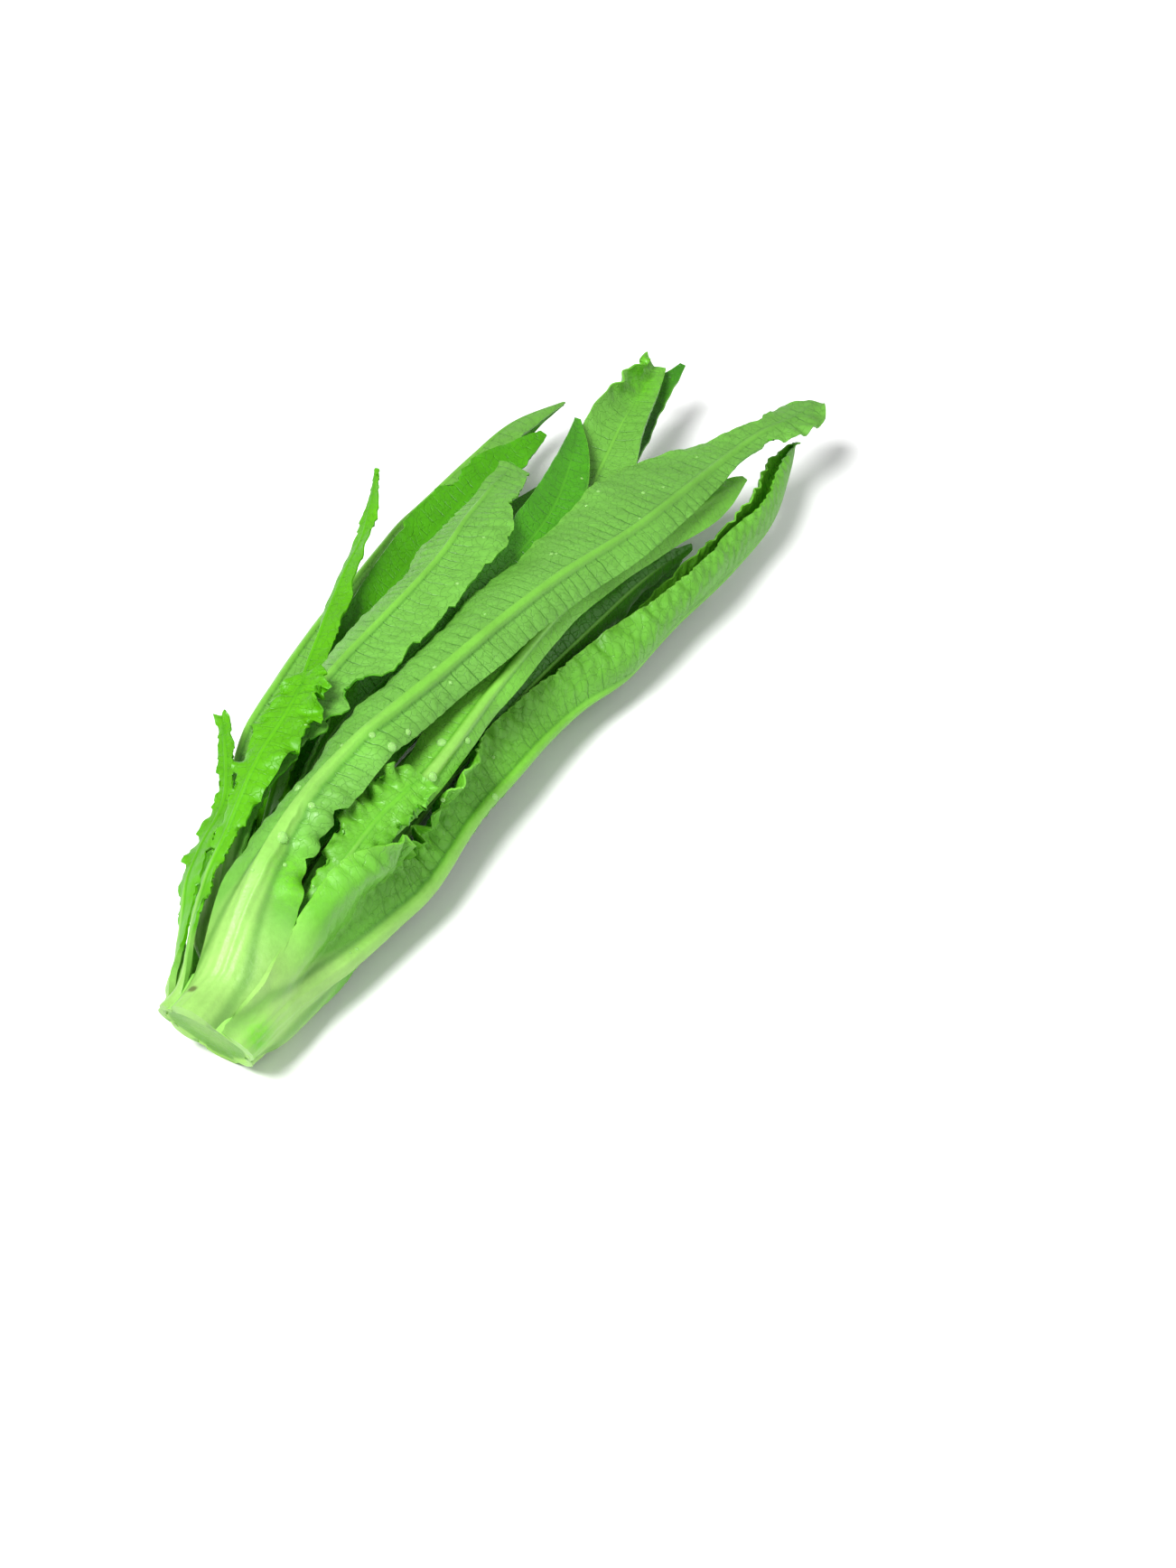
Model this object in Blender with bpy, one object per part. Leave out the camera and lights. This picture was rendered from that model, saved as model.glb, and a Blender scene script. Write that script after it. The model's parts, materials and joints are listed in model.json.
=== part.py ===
"""A green leaf lettuce: one whole head, cut off below its leaves and lying on its side.

The stump is at -X and the leaf tips are at +X. Lengths below are in millimetres and angles in
degrees, and the finished pieces are in metres.
"""

import bmesh
import bpy
import numpy as np

MM = 0.001

# Thickness of a leaf away from its rib, and what its root adds on each side
BLADE = 0.8
ROOT_EXTRA = 0.5
ROOT_FADE = 10
THINNEST_HALF = 0.5

# A rib narrows from its foot to this share of its half width, over this share of its length
RIB_SLIM = 0.3
RIB_FADE = 0.15
RIB_LEAST = 0.3

# Air left between two neighbours, at the root and further out
ROOT_GAP = 0.4
LEAF_GAP = 1.0
ROOT_GAP_ENDS = 25
LEAF_GAP_STARTS = 60

# The line that the leaves stand round: x, y, z
AXIS = ((0, -0.3, 17), (20, 0, 17.5), (60, 2, 20), (120, 5, 17), (200, 10, 13), (310, 14, 10))

# The stump: x and radius of its core, then of the collar that the leaves grow from
CORE = ((0, 12.2), (14, 12.2), (21, 11.2), (34, 9.5), (50, 7.0), (62, 5.0))
COLLAR = ((-7, 12.6), (2, 13.0), (6, 13.4), (9.3, 13.9))
STUMP_RINGS = (0, 3, 6, 9.3, 9.8, 14, 18.5, 20.5, 27, 34, 42, 50, 57, 62)
STUMP_SIDES = 48
CUT_SLOPE = np.tan(np.radians(22))
CUT_HOLLOW = 1.2
# The stub of a leaf that was pulled away below, which the stump lies on
STUB_ANGLE = 272
STUB_HALF = 20
STUB_RADIUS = 17.3
STUB_EDGE = 2.6
STUB_END = 18.5
# The level of the worktop, which presses the stump and the lowest leaves flat where they touch it
LIE_LEVEL = 0.4
LOWEST_MIDDLE = LIE_LEVEL + 0.35
ROOT_START = 10.2

# Raster round the axis: the step along it and the step round it
STEP = 2.0
TURN = 2.5
ALONG = np.arange(-6, 330, STEP)
ROUND = 144
SETTLE_TURNS = 4


def leaf(rows, rib, size, colour, crease=0.35, ruffle=(0.8, 5), teeth=(0.05, 9), seed=1, settles=True):
    """One leaf. Each row is a station on its rib: x, y, z, roll, left, right, fold_left, fold_right.

    Roll is where the ribbed side faces, 90 for up and 180 for the near side. Left and right are the
    widths beside the rib, and each fold is how far that half bends. A rib has a half width and a
    height, size is the stations along and across one half, ruffle a height and a number of waves,
    and teeth a depth and a number.
    """
    return {
        "rows": np.array(rows, float),
        "rib": rib,
        "size": size,
        "colour": colour,
        "crease": crease,
        "ruffle": ruffle,
        "teeth": teeth,
        "seed": seed,
        "settles": settles,
    }


MID_GREEN = (0.13, 0.42, 0.05)
LIGHT_GREEN = (0.25, 0.60, 0.10)
BRIGHT_GREEN = (0.14, 0.50, 0.02)
DEEP_GREEN = (0.06, 0.27, 0.02)
PALE_GREEN = (0.50, 0.80, 0.26)

# The leaves, from the heart outwards
LEAVES = {
    "heart_leaf_upper": leaf(
        (
            (57, 2, 28.5, 80, 4, 4, 60, 60),
            (90, 3, 28, 80, 7, 7, 60, 60),
            (140, 3, 26, 82, 9, 9, 60, 60),
            (190, 3, 25, 85, 9, 9, 50, 50),
            (225, 5, 23, 85, 6, 6, 40, 40),
            (246, 6, 22, 85, 1, 1, 30, 30),
        ),
        (3, 1.2), (16, 3), DEEP_GREEN, seed=11, settles=False,
    ),
    "heart_leaf_lower": leaf(
        (
            (56, 4, 10.0, 280, 4, 4, 60, 60),
            (90, 7, 11.5, 275, 8, 8, 50, 50),
            (150, 12, 12.5, 270, 10, 10, 40, 40),
            (210, 18, 14, 270, 10, 10, 40, 40),
            (262, 25, 17, 270, 8, 8, 30, 30),
            (285, 27, 20, 270, 6, 6, 30, 30),
            (303, 26, 23, 270, 1, 1, 20, 20),
        ),
        (3, 1.0), (18, 3), DEEP_GREEN, seed=12, settles=False,
    ),
    "rolled_leaf": leaf(
        (
            (36, 6, 28.5, 60, 5, 5, 25, 25),
            (80, 10, 32, 65, 8, 8, 30, 30),
            (130, 11, 33, 70, 10, 10, 30, 30),
            (180, 12, 32, 75, 11, 11, 30, 30),
            (214, 14, 30, 80, 11, 11, 25, 20),
            (242, 20, 28.5, 80, 11, 10, -15, 10),
            (262, 25, 27.5, 80, 11.5, 8, -75, 0),
            (281, 28.5, 26, 80, 10, 6, -125, 0),
            (295, 31, 24, 80, 5, 4, -130, 0),
        ),
        (3.5, 1.5), (22, 4), MID_GREEN, seed=14,
    ),
    "inner_leaf_far": leaf(
        (
            (36, 12, 18, 360, 4, 4, 30, 30),
            (80, 20, 26, 335, 6, 6, 35, 35),
            (130, 19, 36, 302, 7, 7, 35, 35),
            (165, 15, 38.5, 296, 8, 8, 25, 25),
            (202, 16, 38, 292, 9, 8, 30, 30),
            (228, 23.5, 36, 290, 6, 5, 20, 20),
            (250, 31, 31, 290, 1, 1, 20, 20),
        ),
        (3, 1.0), (18, 3), MID_GREEN, seed=13,
    ),
    "dark_leaf": leaf(
        (
            (36, -9.5, 20, 168, 4.5, 4.5, 25, 25),
            (70, -10, 22.5, 160, 6, 6, 40, 30),
            (110, -8.5, 23, 155, 6.5, 6.5, 50, 30),
            (150, -9, 23.5, 155, 7, 7, 50, 30),
            (180, -12.5, 25, 155, 7, 7, 50, 30),
            (205, -16, 26, 155, 5, 5, 50, 30),
            (224, -20, 25, 155, 1, 1, 20, 20),
        ),
        (3, 1.2), (16, 3), DEEP_GREEN, seed=15,
    ),
    "band_leaf": leaf(
        (
            (34, -6, 29, 120, 4, 4, 30, 30),
            (55, -8, 34, 120, 7, 4.5, 30, 30),
            (88, -11.5, 38, 116, 9, 5, 40, 40),
            (130, -11, 42, 112, 10, 5.5, 40, 45),
            (175, -11, 42, 110, 11, 6, 40, 45),
            (215, -16, 37, 110, 9, 6.5, 30, 35),
            (240, -19, 32, 110, 7, 6, 20, 25),
            (258, -20, 27, 110, 1, 1, 0, 0),
        ),
        (8, 2.2), (22, 4), LIGHT_GREEN, seed=16,
    ),
    "curly_leaf": leaf(
        (
            (23, -6.5, 27.5, 125, 4, 4, 25, 25),
            (40, -7.5, 32, 125, 4, 3, 20, 20),
            (52, -8.5, 36.5, 122, 6, 4, 0, 0),
            (62, -9.5, 40, 118, 9, 6, 0, 0),
            (70, -10.5, 42, 115, 11, 8, 0, 0),
            (78, -12, 43.2, 112, 10, 8, 0, 0),
            (86, -13, 43.8, 112, 5, 4.5, 0, 0),
        ),
        (4, 1.0), (20, 5), BRIGHT_GREEN, ruffle=(2.2, 3), teeth=(0.3, 6), seed=26,
    ),
    "under_leaf_mid": leaf(
        (
            (31, 2, 5.2, 275, 5, 5, 30, 30),
            (60, 4, 6.8, 270, 10, 10, 20, 20),
            (100, 8, 7.5, 270, 13, 13, 15, 15),
            (150, 13, 7.5, 270, 15, 15, 12, 12),
            (200, 17, 7.5, 270, 13, 13, 10, 10),
            (238, 20, 8.3, 270, 8, 8, 10, 10),
            (258, 21, 9.5, 270, 1, 1, 10, 10),
        ),
        (4, 1.0), (18, 3), MID_GREEN, seed=17,
    ),
    "notched_leaf": leaf(
        (
            (34, 12.5, 11.5, 325, 4, 4, 30, 30),
            (70, 26, 17.5, 305, 6, 6, 25, 25),
            (110, 37, 23.5, 295, 7, 7, 20, 20),
            (150, 44.5, 26.5, 292, 8, 8, 18, 18),
            (185, 48, 27.5, 290, 9, 9, 15, 15),
            (212, 48.5, 27, 288, 8.5, 8.5, 12, 12),
            (236, 47.5, 25, 286, 5, 5, 10, 10),
            (250, 46, 23.5, 286, 1, 1, 10, 10),
        ),
        (4, 1.2), (22, 4), BRIGHT_GREEN, teeth=(0.12, 7), seed=28,
    ),
    "spear_leaf": leaf(
        (
            (36, 11, 23.5, 30, 3, 3, 25, 25),
            (60, 20, 28, 38, 4, 4, 30, 30),
            (90, 31, 30.5, 40, 4, 4, 30, 30),
            (105, 36, 31, 42, 4, 4, 30, 30),
            (122, 42.5, 31.8, 44, 3.4, 5, 30, 30),
            (138, 49.5, 33.5, 46, 3.8, 6.2, 20, 20),
            (152, 54.5, 36.5, 48, 3.8, 5.5, 10, 5),
            (165.5, 57.2, 39.8, 48, 4, 4.5, 0, 0),
            (178, 61.5, 44.5, 46, 2, 3, 0, 0),
            (185, 63.3, 47, 44, 0.8, 0.8, 0, 0),
        ),
        (3, 1.2), (20, 3), BRIGHT_GREEN, seed=23,
    ),
    "far_leaf": leaf(
        (
            (23, 15, 18, 2, 7, 6, 30, 30),
            (45, 26, 20, 12, 8, 8, 40, 40),
            (70, 37, 22.5, 18, 10, 8, 60, 60),
            (100, 48, 24, 22, 12, 8, 80, 80),
            (130, 55.5, 25, 25, 14, 8, 90, 90),
            (165, 58.5, 25, 28, 16, 8, 95, 90),
            (200, 60, 24, 28, 16, 10, 95, 90),
            (230, 60.5, 22, 28, 14, 9, 90, 80),
            (255, 60, 19, 28, 8, 7, 80, 70),
            (276, 54.5, 15, 30, 1, 1, 60, 60),
        ),
        (6, 2.0), (28, 4), MID_GREEN, crease=0.6, seed=20,
    ),
    "under_leaf_far": leaf(
        (
            (11, 12.3, 8.0, 322, 6, 6.5, 30, 30),
            (28, 19.5, 6.4, 306, 8, 8, 25, 25),
            (45, 27, 5.4, 295, 11, 10, 20, 20),
            (90, 36, 2.8, 280, 15, 15, 12, 12),
            (125, 39.5, 0.8, 270, 16, 16, 8, 8),
            (180, 43, 0.75, 270, 16, 16, 8, 8),
            (220, 45, 2.5, 272, 10, 10, 8, 8),
            (248, 45, 5, 272, 1, 1, 5, 5),
        ),
        (5, 1.2), (20, 3), MID_GREEN, seed=18,
    ),
    "under_leaf_near": leaf(
        (
            (11, -9.8, 6.9, 225, 5.2, 4.5, 30, 30),
            (28, -8.5, 5.2, 246, 5.5, 7, 22, 22),
            (45, -6, 4.2, 262, 6, 10, 15, 20),
            (90, -4, 2.8, 270, 8, 13, 10, 10),
            (130, -3, 0.8, 270, 9, 13, 8, 8),
            (180, -5.5, 0.8, 270, 8, 12, 8, 8),
            (218, -8, 3.6, 270, 6, 6, 8, 8),
            (238, -9, 5, 270, 1, 1, 5, 5),
        ),
        (5, 1.2), (18, 3), MID_GREEN, seed=19,
    ),
    "crown_leaf": leaf(
        (
            (11, 0.6, 31.4, 88, 7.5, 9, 25, 25),
            (24, 3, 38.2, 88, 9, 10, 30, 30),
            (45, 5, 45.2, 86, 12, 11, 40, 60),
            (75, 4, 50, 88, 15, 10, 48, 65),
            (118, -2, 53, 92, 20, 9, 46, 60),
            (165, -8, 51, 92, 23, 9, 40, 60),
            (200, -13, 45.5, 90, 24, 8, 18, 50),
            (240, -15, 38.5, 88, 23, 6, 10, 30),
            (257, -15.5, 35, 88, 12, 4.5, 5, 10),
            (274, -17, 32, 88, 6.5, 6, 0, 0),
            (288, -20, 29, 90, 7, 8, 0, 0),
            (297, -21, 27, 90, 7, 7, 0, 0),
            (304, -21, 25.5, 90, 3, 3, 0, 0),
        ),
        (9, 3.5), (36, 5), MID_GREEN, teeth=(0.02, 9), seed=21,
    ),
    "torn_leaf": leaf(
        (
            (22, 11.5, 25.6, 36, 4, 3.5, 25, 25),
            (34, 16.5, 30.5, 44, 4.5, 3.5, 25, 25),
            (48, 21.5, 36.5, 58, 6, 5, 30, 10),
            (66, 26, 41.5, 72, 8, 6, 40, 5),
            (78, 27.5, 43, 80, 10, 11, 45, 0),
            (90, 28.5, 44, 84, 11, 12.5, 50, 0),
            (98, 28.5, 44.7, 86, 12, 13.5, 53, 0),
            (104, 28.5, 45.3, 87, 12, 9, 55, 0),
            (111, 28.5, 46, 88, 13, 14.5, 55, 0),
            (130, 27.5, 47.3, 90, 14, 14.5, 60, 0),
            (150, 27, 48, 90, 15, 14.5, 60, 0),
            (166, 28, 47.5, 92, 14, 15.5, 60, 0),
            (178, 30, 46, 94, 9, 16.5, 50, 0),
            (190, 32.5, 43.5, 95, 5, 13, 30, 0),
            (204, 35, 41, 95, 4, 9, 20, 5),
            (216, 37, 38, 95, 3, 6, 20, 5),
        ),
        (7, 2.6), (38, 5), MID_GREEN, teeth=(0.1, 9), seed=22,
    ),
    "flap_leaf": leaf(
        (
            (11, 10.7, 26.7, 44, 4, 3.5, 25, 25),
            (28, 16.5, 34.5, 48, 4.5, 4, 20, 20),
            (45, 20, 41, 56, 4.5, 4.5, 10, 10),
            (60, 23, 45, 64, 6, 6.5, 5, 10),
            (72, 25.5, 47.3, 68, 7.5, 9.5, 0, 5),
            (83, 27.5, 49, 70, 8.5, 11.5, -5, 0),
            (92, 29.5, 50, 70, 7.5, 10.5, -10, -10),
            (99, 31, 50.3, 70, 4, 6, -10, -10),
        ),
        (4, 1.3), (20, 5), BRIGHT_GREEN, teeth=(0.3, 6), seed=24,
    ),
    "ragged_leaf": leaf(
        (
            (11, 14.1, 19.8, 12, 5, 3, 20, 20),
            (24, 19.8, 23, 36, 6.5, 5.5, 10, 10),
            (36, 26, 26.5, 54, 7.5, 6.5, 0, 0),
            (45, 29.5, 28, 60, 7.5, 6, 0, 0),
            (55, 33, 29, 62, 5.5, 4.5, 0, 0),
            (63, 36, 30.5, 62, 3.5, 3, 0, 0),
            (72, 41.5, 32, 60, 3.2, 3, 0, 0),
            (80, 47.5, 33, 58, 3, 3, 0, 0),
            (87, 52.5, 34, 56, 2, 2, 0, 0),
        ),
        (4, 1.3), (22, 4), BRIGHT_GREEN, teeth=(0.25, 7), seed=25,
    ),
    "side_leaf": leaf(
        (
            (11, -13.8, 20.3, 168, 10.5, 8, 45, 40),
            (24, -14.6, 18, 166, 15, 9, 40, 60),
            (40, -16.8, 16, 164, 21, 10, 32, 80),
            (52, -18.6, 15.5, 163, 22, 10, 28, 90),
            (62, -20, 15.5, 161, 20, 10, 26, 90),
            (70, -21.2, 15.5, 157, 17.5, 10, 24, 90),
            (76, -21.6, 16, 151, 15, 10, 22, 90),
            (83, -21.2, 16.5, 147, 14.5, 10, 20, 90),
            (92, -20.4, 17.5, 144, 15.5, 10, 20, 90),
            (105, -19.6, 18, 143, 15.5, 10, 22, 90),
            (121, -20, 17.5, 146, 15, 10.5, 26, 90),
            (138, -19.8, 16.5, 160, 14.5, 11, 38, 95),
            (155, -20.5, 15, 182, 14, 12, 52, 100),
            (175, -22.4, 13.5, 206, 15, 13, 70, 110),
            (200, -24.8, 12.5, 232, 14.5, 14, 110, 115),
            (235, -29, 12.3, 250, 15, 16, 130, 120),
            (260, -29, 13, 250, 12, 14, 130, 120),
            (280, -24, 15, 250, 8, 9, 120, 110),
            (292, -20, 17, 250, 1, 1, 90, 90),
        ),
        (9, 2.6), (42, 6), LIGHT_GREEN, seed=27,
    ),
}


def along(keys, place, where):
    """A smooth curve through the keys, read at each place asked for."""
    slope = np.gradient(keys, place, axis=0)
    k = np.clip(np.searchsorted(place, where, side="right") - 1, 0, len(place) - 2)
    step = (place[k + 1] - place[k])[:, None]
    s = (where - place[k])[:, None] / step
    return (
        (2 * s**3 - 3 * s**2 + 1) * keys[k]
        + (s**3 - 2 * s**2 + s) * slope[k] * step
        + (3 * s**2 - 2 * s**3) * keys[k + 1]
        + (s**3 - s**2) * slope[k + 1] * step
    )


def unit(vectors):
    return vectors / np.linalg.norm(vectors, axis=-1, keepdims=True)


def read(table, x):
    table = np.array(table, float)
    return np.interp(x, table[:, 0], table[:, 1])


def axis_at(x):
    line = np.array(AXIS, float)
    return np.interp(x, line[:, 0], line[:, 1]), np.interp(x, line[:, 0], line[:, 2])


def across(columns):
    """Places from the rib to the margin, closer together beside the rib."""
    return np.linspace(0, 1, columns + 1) ** 1.3


def sheet(spec):
    """The middle surface of a leaf before it settles, and how far each point lies from the rib."""
    rows = spec["rows"]
    count, columns = spec["size"]
    place = np.r_[0, np.cumsum(np.linalg.norm(np.diff(rows[:, :3], axis=0), axis=1))]
    where = np.linspace(0, place[-1], count)
    values = along(rows, place, where)
    u = where / place[-1]
    spine = values[:, :3]
    tangent = unit(np.gradient(spine, where, axis=0))
    side = unit(np.cross((0, 0, 1.0), tangent))
    up = np.cross(tangent, side)
    phase = np.random.default_rng(spec["seed"]).uniform(0, 2 * np.pi, 6)
    height, waves = spec["ruffle"]
    depth, teeth = spec["teeth"]
    points = np.zeros((count, 2 * columns + 1, 3))
    points[:, columns] = spine
    reach = np.zeros((count, 2 * columns + 1))
    for half, (sign, width, fold) in enumerate(
        ((-1, values[:, 4], np.radians(values[:, 6])), (1, values[:, 5], np.radians(values[:, 7])))
    ):
        tooth = (teeth * u + phase[2 + half] + 0.3 * np.sin(11 * u + phase[4 + half])) % 1
        width = np.maximum(width, THINNEST_HALF)
        width = width * (1 - depth * tooth * np.clip(8 * u, 0, 1) * np.clip(8 * (1 - u), 0, 1))
        crease = spec["crease"] * np.clip(u / 0.12, 0, 1)
        bend = fold * (1 - crease)
        bend = np.where(np.abs(bend) < 0.001, 0.001, bend)
        start = np.radians(values[:, 3]) + sign * (np.pi / 2 + fold * crease)
        turn = 2 * np.pi * waves * u
        wave = np.sin(turn + phase[half]) + 0.5 * np.sin(1.9 * turn + phase[1 - half])
        for j, s in enumerate(across(columns)[1:], 1):
            end = start + sign * bend * s
            over = sign * width * (np.sin(end) - np.sin(start)) / bend
            above = -sign * width * (np.cos(end) - np.cos(start)) / bend
            lift = height * s**2 * np.clip(width / 10, 0, 1) * wave
            points[:, columns + sign * j] = (
                spine
                + (over - lift * np.sin(end))[:, None] * side
                + (above + lift * np.cos(end))[:, None] * up
            )
            reach[:, columns + sign * j] = s * width
    points[..., 0] = np.maximum(points[..., 0], ROOT_START)
    points[..., 2] = np.maximum(points[..., 2], LOWEST_MIDDLE)
    return points, u, reach


def faces_of(points, u, reach, spec):
    """The inner face, and the outer face with the rib standing on it."""
    normal = unit(np.cross(np.gradient(points, axis=0), -np.gradient(points, axis=1)))
    half, height = spec["rib"]
    half = half * (RIB_SLIM + (1 - RIB_SLIM) * np.exp(-u / RIB_FADE)) + RIB_LEAST
    height = height * (1 - u) ** 0.8 * np.clip(u / 0.1, 0, 1)
    ridge = height[:, None] * np.exp(-((reach / (0.6 * half[:, None])) ** 2))
    blade = (BLADE / 2 + ROOT_EXTRA * np.exp(-ROOT_FADE * u))[:, None]
    inner = points - normal * blade[..., None]
    outer = points + normal * (blade + ridge)[..., None]
    outer[..., 2] = np.maximum(outer[..., 2], LIE_LEVEL)
    return inner, outer


def polar(points):
    """Radius from the axis, with the place along and round it in steps of the raster."""
    y, z = axis_at(points[..., 0])
    radius = np.hypot(points[..., 1] - y, points[..., 2] - z)
    angle = np.degrees(np.arctan2(points[..., 2] - z, points[..., 1] - y)) % 360
    return radius, (points[..., 0] - ALONG[0]) / STEP, angle / TURN


def cells(points):
    radius, i, j = polar(points)
    return radius, np.clip(np.round(i).astype(int), 0, len(ALONG) - 1), np.round(j).astype(int) % ROUND


def dense(points, parts=6):
    """The same surface with each square cut into parts by parts."""
    for turn in range(2):
        place = np.linspace(0, len(points) - 1, (len(points) - 1) * parts + 1)
        low = np.clip(place.astype(int), 0, len(points) - 2)
        share = (place - low)[:, None, None]
        points = (points[low] * (1 - share) + points[low + 1] * share).transpose(1, 0, 2)
    return points


def spread(field, reach=1):
    """The largest value within a few cells."""
    found = field
    for i in range(-reach, reach + 1):
        for j in range(-reach, reach + 1):
            found = np.maximum(found, np.roll(field, (i, j), (0, 1)))
    return found


def blur(field, turns):
    for turn in range(turns):
        padded = np.pad(field, ((1, 1), (0, 0)), mode="edge")
        field = (padded[:-2] + 2 * padded[1:-1] + padded[2:]) / 4
        field = (np.roll(field, 1, 1) + 2 * field + np.roll(field, -1, 1)) / 4
    return field


def lookup(field, i, j):
    """The field between its cells."""
    i = np.clip(i, 0, len(ALONG) - 1.001)
    low, first = i.astype(int), j.astype(int)
    a, b = i - low, j - first
    first, second = first % ROUND, (first + 1) % ROUND
    near = field[low, first] * (1 - a) + field[low + 1, first] * a
    return near * (1 - b) + (field[low, second] * (1 - a) + field[low + 1, second] * a) * b


def stump_radius(x, angle, collar=True):
    radius = read(CORE, x)
    if collar and x < COLLAR[-1][0] + 0.1:
        radius = read(COLLAR, x)
    off = abs((angle - STUB_ANGLE + 180) % 360 - 180)
    if off < STUB_HALF and x <= STUB_END:
        radius = max(radius, STUB_RADIUS - STUB_EDGE * (off / STUB_HALF) ** 2)
    return radius


def stump_point(x, angle, collar=True):
    y, z = axis_at(x)
    radius = stump_radius(x, angle, collar)
    a = np.radians(angle)
    return x, y + radius * np.cos(a), max(z + radius * np.sin(a), LIE_LEVEL)


def settle(points, u, reach, spec, filled):
    """Moves a leaf off the axis wherever it would come too close to what it lies on."""
    held = spread(filled)
    gap = np.interp(ALONG, (ROOT_GAP_ENDS, LEAF_GAP_STARTS), (ROOT_GAP, LEAF_GAP))[:, None]
    for turn in range(SETTLE_TURNS):
        low = np.full(filled.shape, np.inf)
        for face in faces_of(points, u, reach, spec):
            radius, i, j = cells(dense(face))
            np.minimum.at(low, (i, j), radius)
        need = np.where(np.isfinite(low) & (held > 0), np.maximum(0, held + gap - low), 0)
        if need.max() < 0.05:
            break
        lift = spread(need)
        lift = np.maximum(lift, blur(spread(lift, 2), 6))
        radius, i, j = polar(points)
        move = lookup(lift, i, j)
        move = np.maximum(move, 0.45 * (np.roll(move, 1, 0) + np.roll(move, -1, 0)))
        y, z = axis_at(points[..., 0])
        away = np.stack((0 * radius, points[..., 1] - y, points[..., 2] - z), -1) / radius[..., None]
        points = points + away * move[..., None]
        points[..., 2] = np.maximum(points[..., 2], LOWEST_MIDDLE)
    return points


def material(name, colour, roughness):
    made = bpy.data.materials.new(name)
    made.use_nodes = True
    shader = made.node_tree.nodes["Principled BSDF"]
    shader.inputs["Base Color"].default_value = (*colour, 1)
    shader.inputs["Roughness"].default_value = roughness
    shader.inputs["Metallic"].default_value = 0.0
    return made


def piece(name, mesh, colour, roughness, sharp):
    """An object from the mesh, facing outwards, in metres."""
    bmesh.ops.scale(mesh, vec=(MM, MM, MM), verts=mesh.verts)
    bmesh.ops.recalc_face_normals(mesh, faces=mesh.faces)
    data = bpy.data.meshes.new(name)
    mesh.to_mesh(data)
    mesh.free()
    data.shade_smooth()
    data.set_sharp_from_angle(angle=np.radians(sharp))
    data.materials.append(material(name, colour, roughness))
    made = bpy.data.objects.new(name, data)
    bpy.context.scene.collection.objects.link(made)
    return made


def leaf_mesh(inner, outer):
    """A closed blade: a flat sheet cut alike into triangles, doubled, and bent to the two faces."""
    count, columns = inner.shape[:2]
    mesh = bmesh.new()
    bmesh.ops.create_grid(mesh, x_segments=count - 1, y_segments=columns - 1, size=1)
    bmesh.ops.triangulate(mesh, faces=mesh.faces, quad_method="FIXED")
    sheet_parts = mesh.verts[:] + mesh.edges[:] + mesh.faces[:]
    doubled = bmesh.ops.extrude_face_region(mesh, geom=sheet_parts, use_keep_orig=True)
    top = {part for part in doubled["geom"] if isinstance(part, bmesh.types.BMVert)}
    for vert in mesh.verts:
        i = round((vert.co.x + 1) / 2 * (count - 1))
        j = round((vert.co.y + 1) / 2 * (columns - 1))
        vert.co = (outer if vert in top else inner)[i, j]
    return mesh


def stump_mesh():
    """The stump: a drum cut into rings, drawn in to its core above the collar, with a sloping cut."""
    mesh = bmesh.new()
    bmesh.ops.create_cone(
        mesh, cap_ends=True, segments=STUMP_SIDES, radius1=1, radius2=1, depth=1
    )
    upright = [edge for edge in mesh.edges if abs(edge.verts[0].co.z - edge.verts[1].co.z) > 0.5]
    bmesh.ops.subdivide_edges(mesh, edges=upright, cuts=len(STUMP_RINGS) - 2, use_grid_fill=True)
    for vert in mesh.verts:
        ring = round((vert.co.z + 0.5) * (len(STUMP_RINGS) - 1))
        angle = np.degrees(np.arctan2(vert.co.y, vert.co.x)) % 360
        x, y, z = stump_point(STUMP_RINGS[ring], angle)
        # The lower rings lean with the cut, less and less up to the collar's edge
        lean = np.clip(1 - x / COLLAR[-1][0], 0, 1)
        vert.co = (x - lean * CUT_SLOPE * (z - AXIS[0][2]), y, z)
    cut = min(mesh.faces, key=lambda face: face.calc_center_median().x if len(face.verts) > 4 else 99)
    hub = bmesh.ops.poke(mesh, faces=[cut])["verts"][0]
    hub.co.x += CUT_HOLLOW
    return mesh


# Start from an empty scene
for old in list(bpy.data.objects):
    bpy.data.objects.remove(old)

# What stands round the axis so far, as a radius in each cell
filled = np.zeros((len(ALONG), ROUND))
for x in np.arange(0, CORE[-1][0], 1.0):
    for angle in np.arange(0, 360, 1.0):
        radius, i, j = cells(np.array(stump_point(x, angle, collar=False)))
        filled[i, j] = max(filled[i, j], radius)

objects = [piece("stem", stump_mesh(), PALE_GREEN, 0.45, 50)]
for name, spec in LEAVES.items():
    points, u, reach = sheet(spec)
    if spec["settles"]:
        points = settle(points, u, reach, spec, filled)
    inner, outer = faces_of(points, u, reach, spec)
    for face in (inner, outer):
        radius, i, j = cells(dense(face))
        np.maximum.at(filled, (i, j), radius)
    objects.append(piece(name, leaf_mesh(inner, outer), spec["colour"], 0.5, 70))

# Stand the head on its lowest point, centred over the origin
corners = np.array([vert.co for made in objects for vert in made.data.vertices])
low, high = corners.min(axis=0), corners.max(axis=0)
for made in objects:
    for vert in made.data.vertices:
        vert.co.x -= (low[0] + high[0]) / 2
        vert.co.y -= (low[1] + high[1]) / 2
        vert.co.z -= low[2]
    made.data.update()
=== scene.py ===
import json

import bmesh
import bpy
import numpy as np
from mathutils import Matrix, Vector
from mathutils.bvhtree import BVHTree

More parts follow.
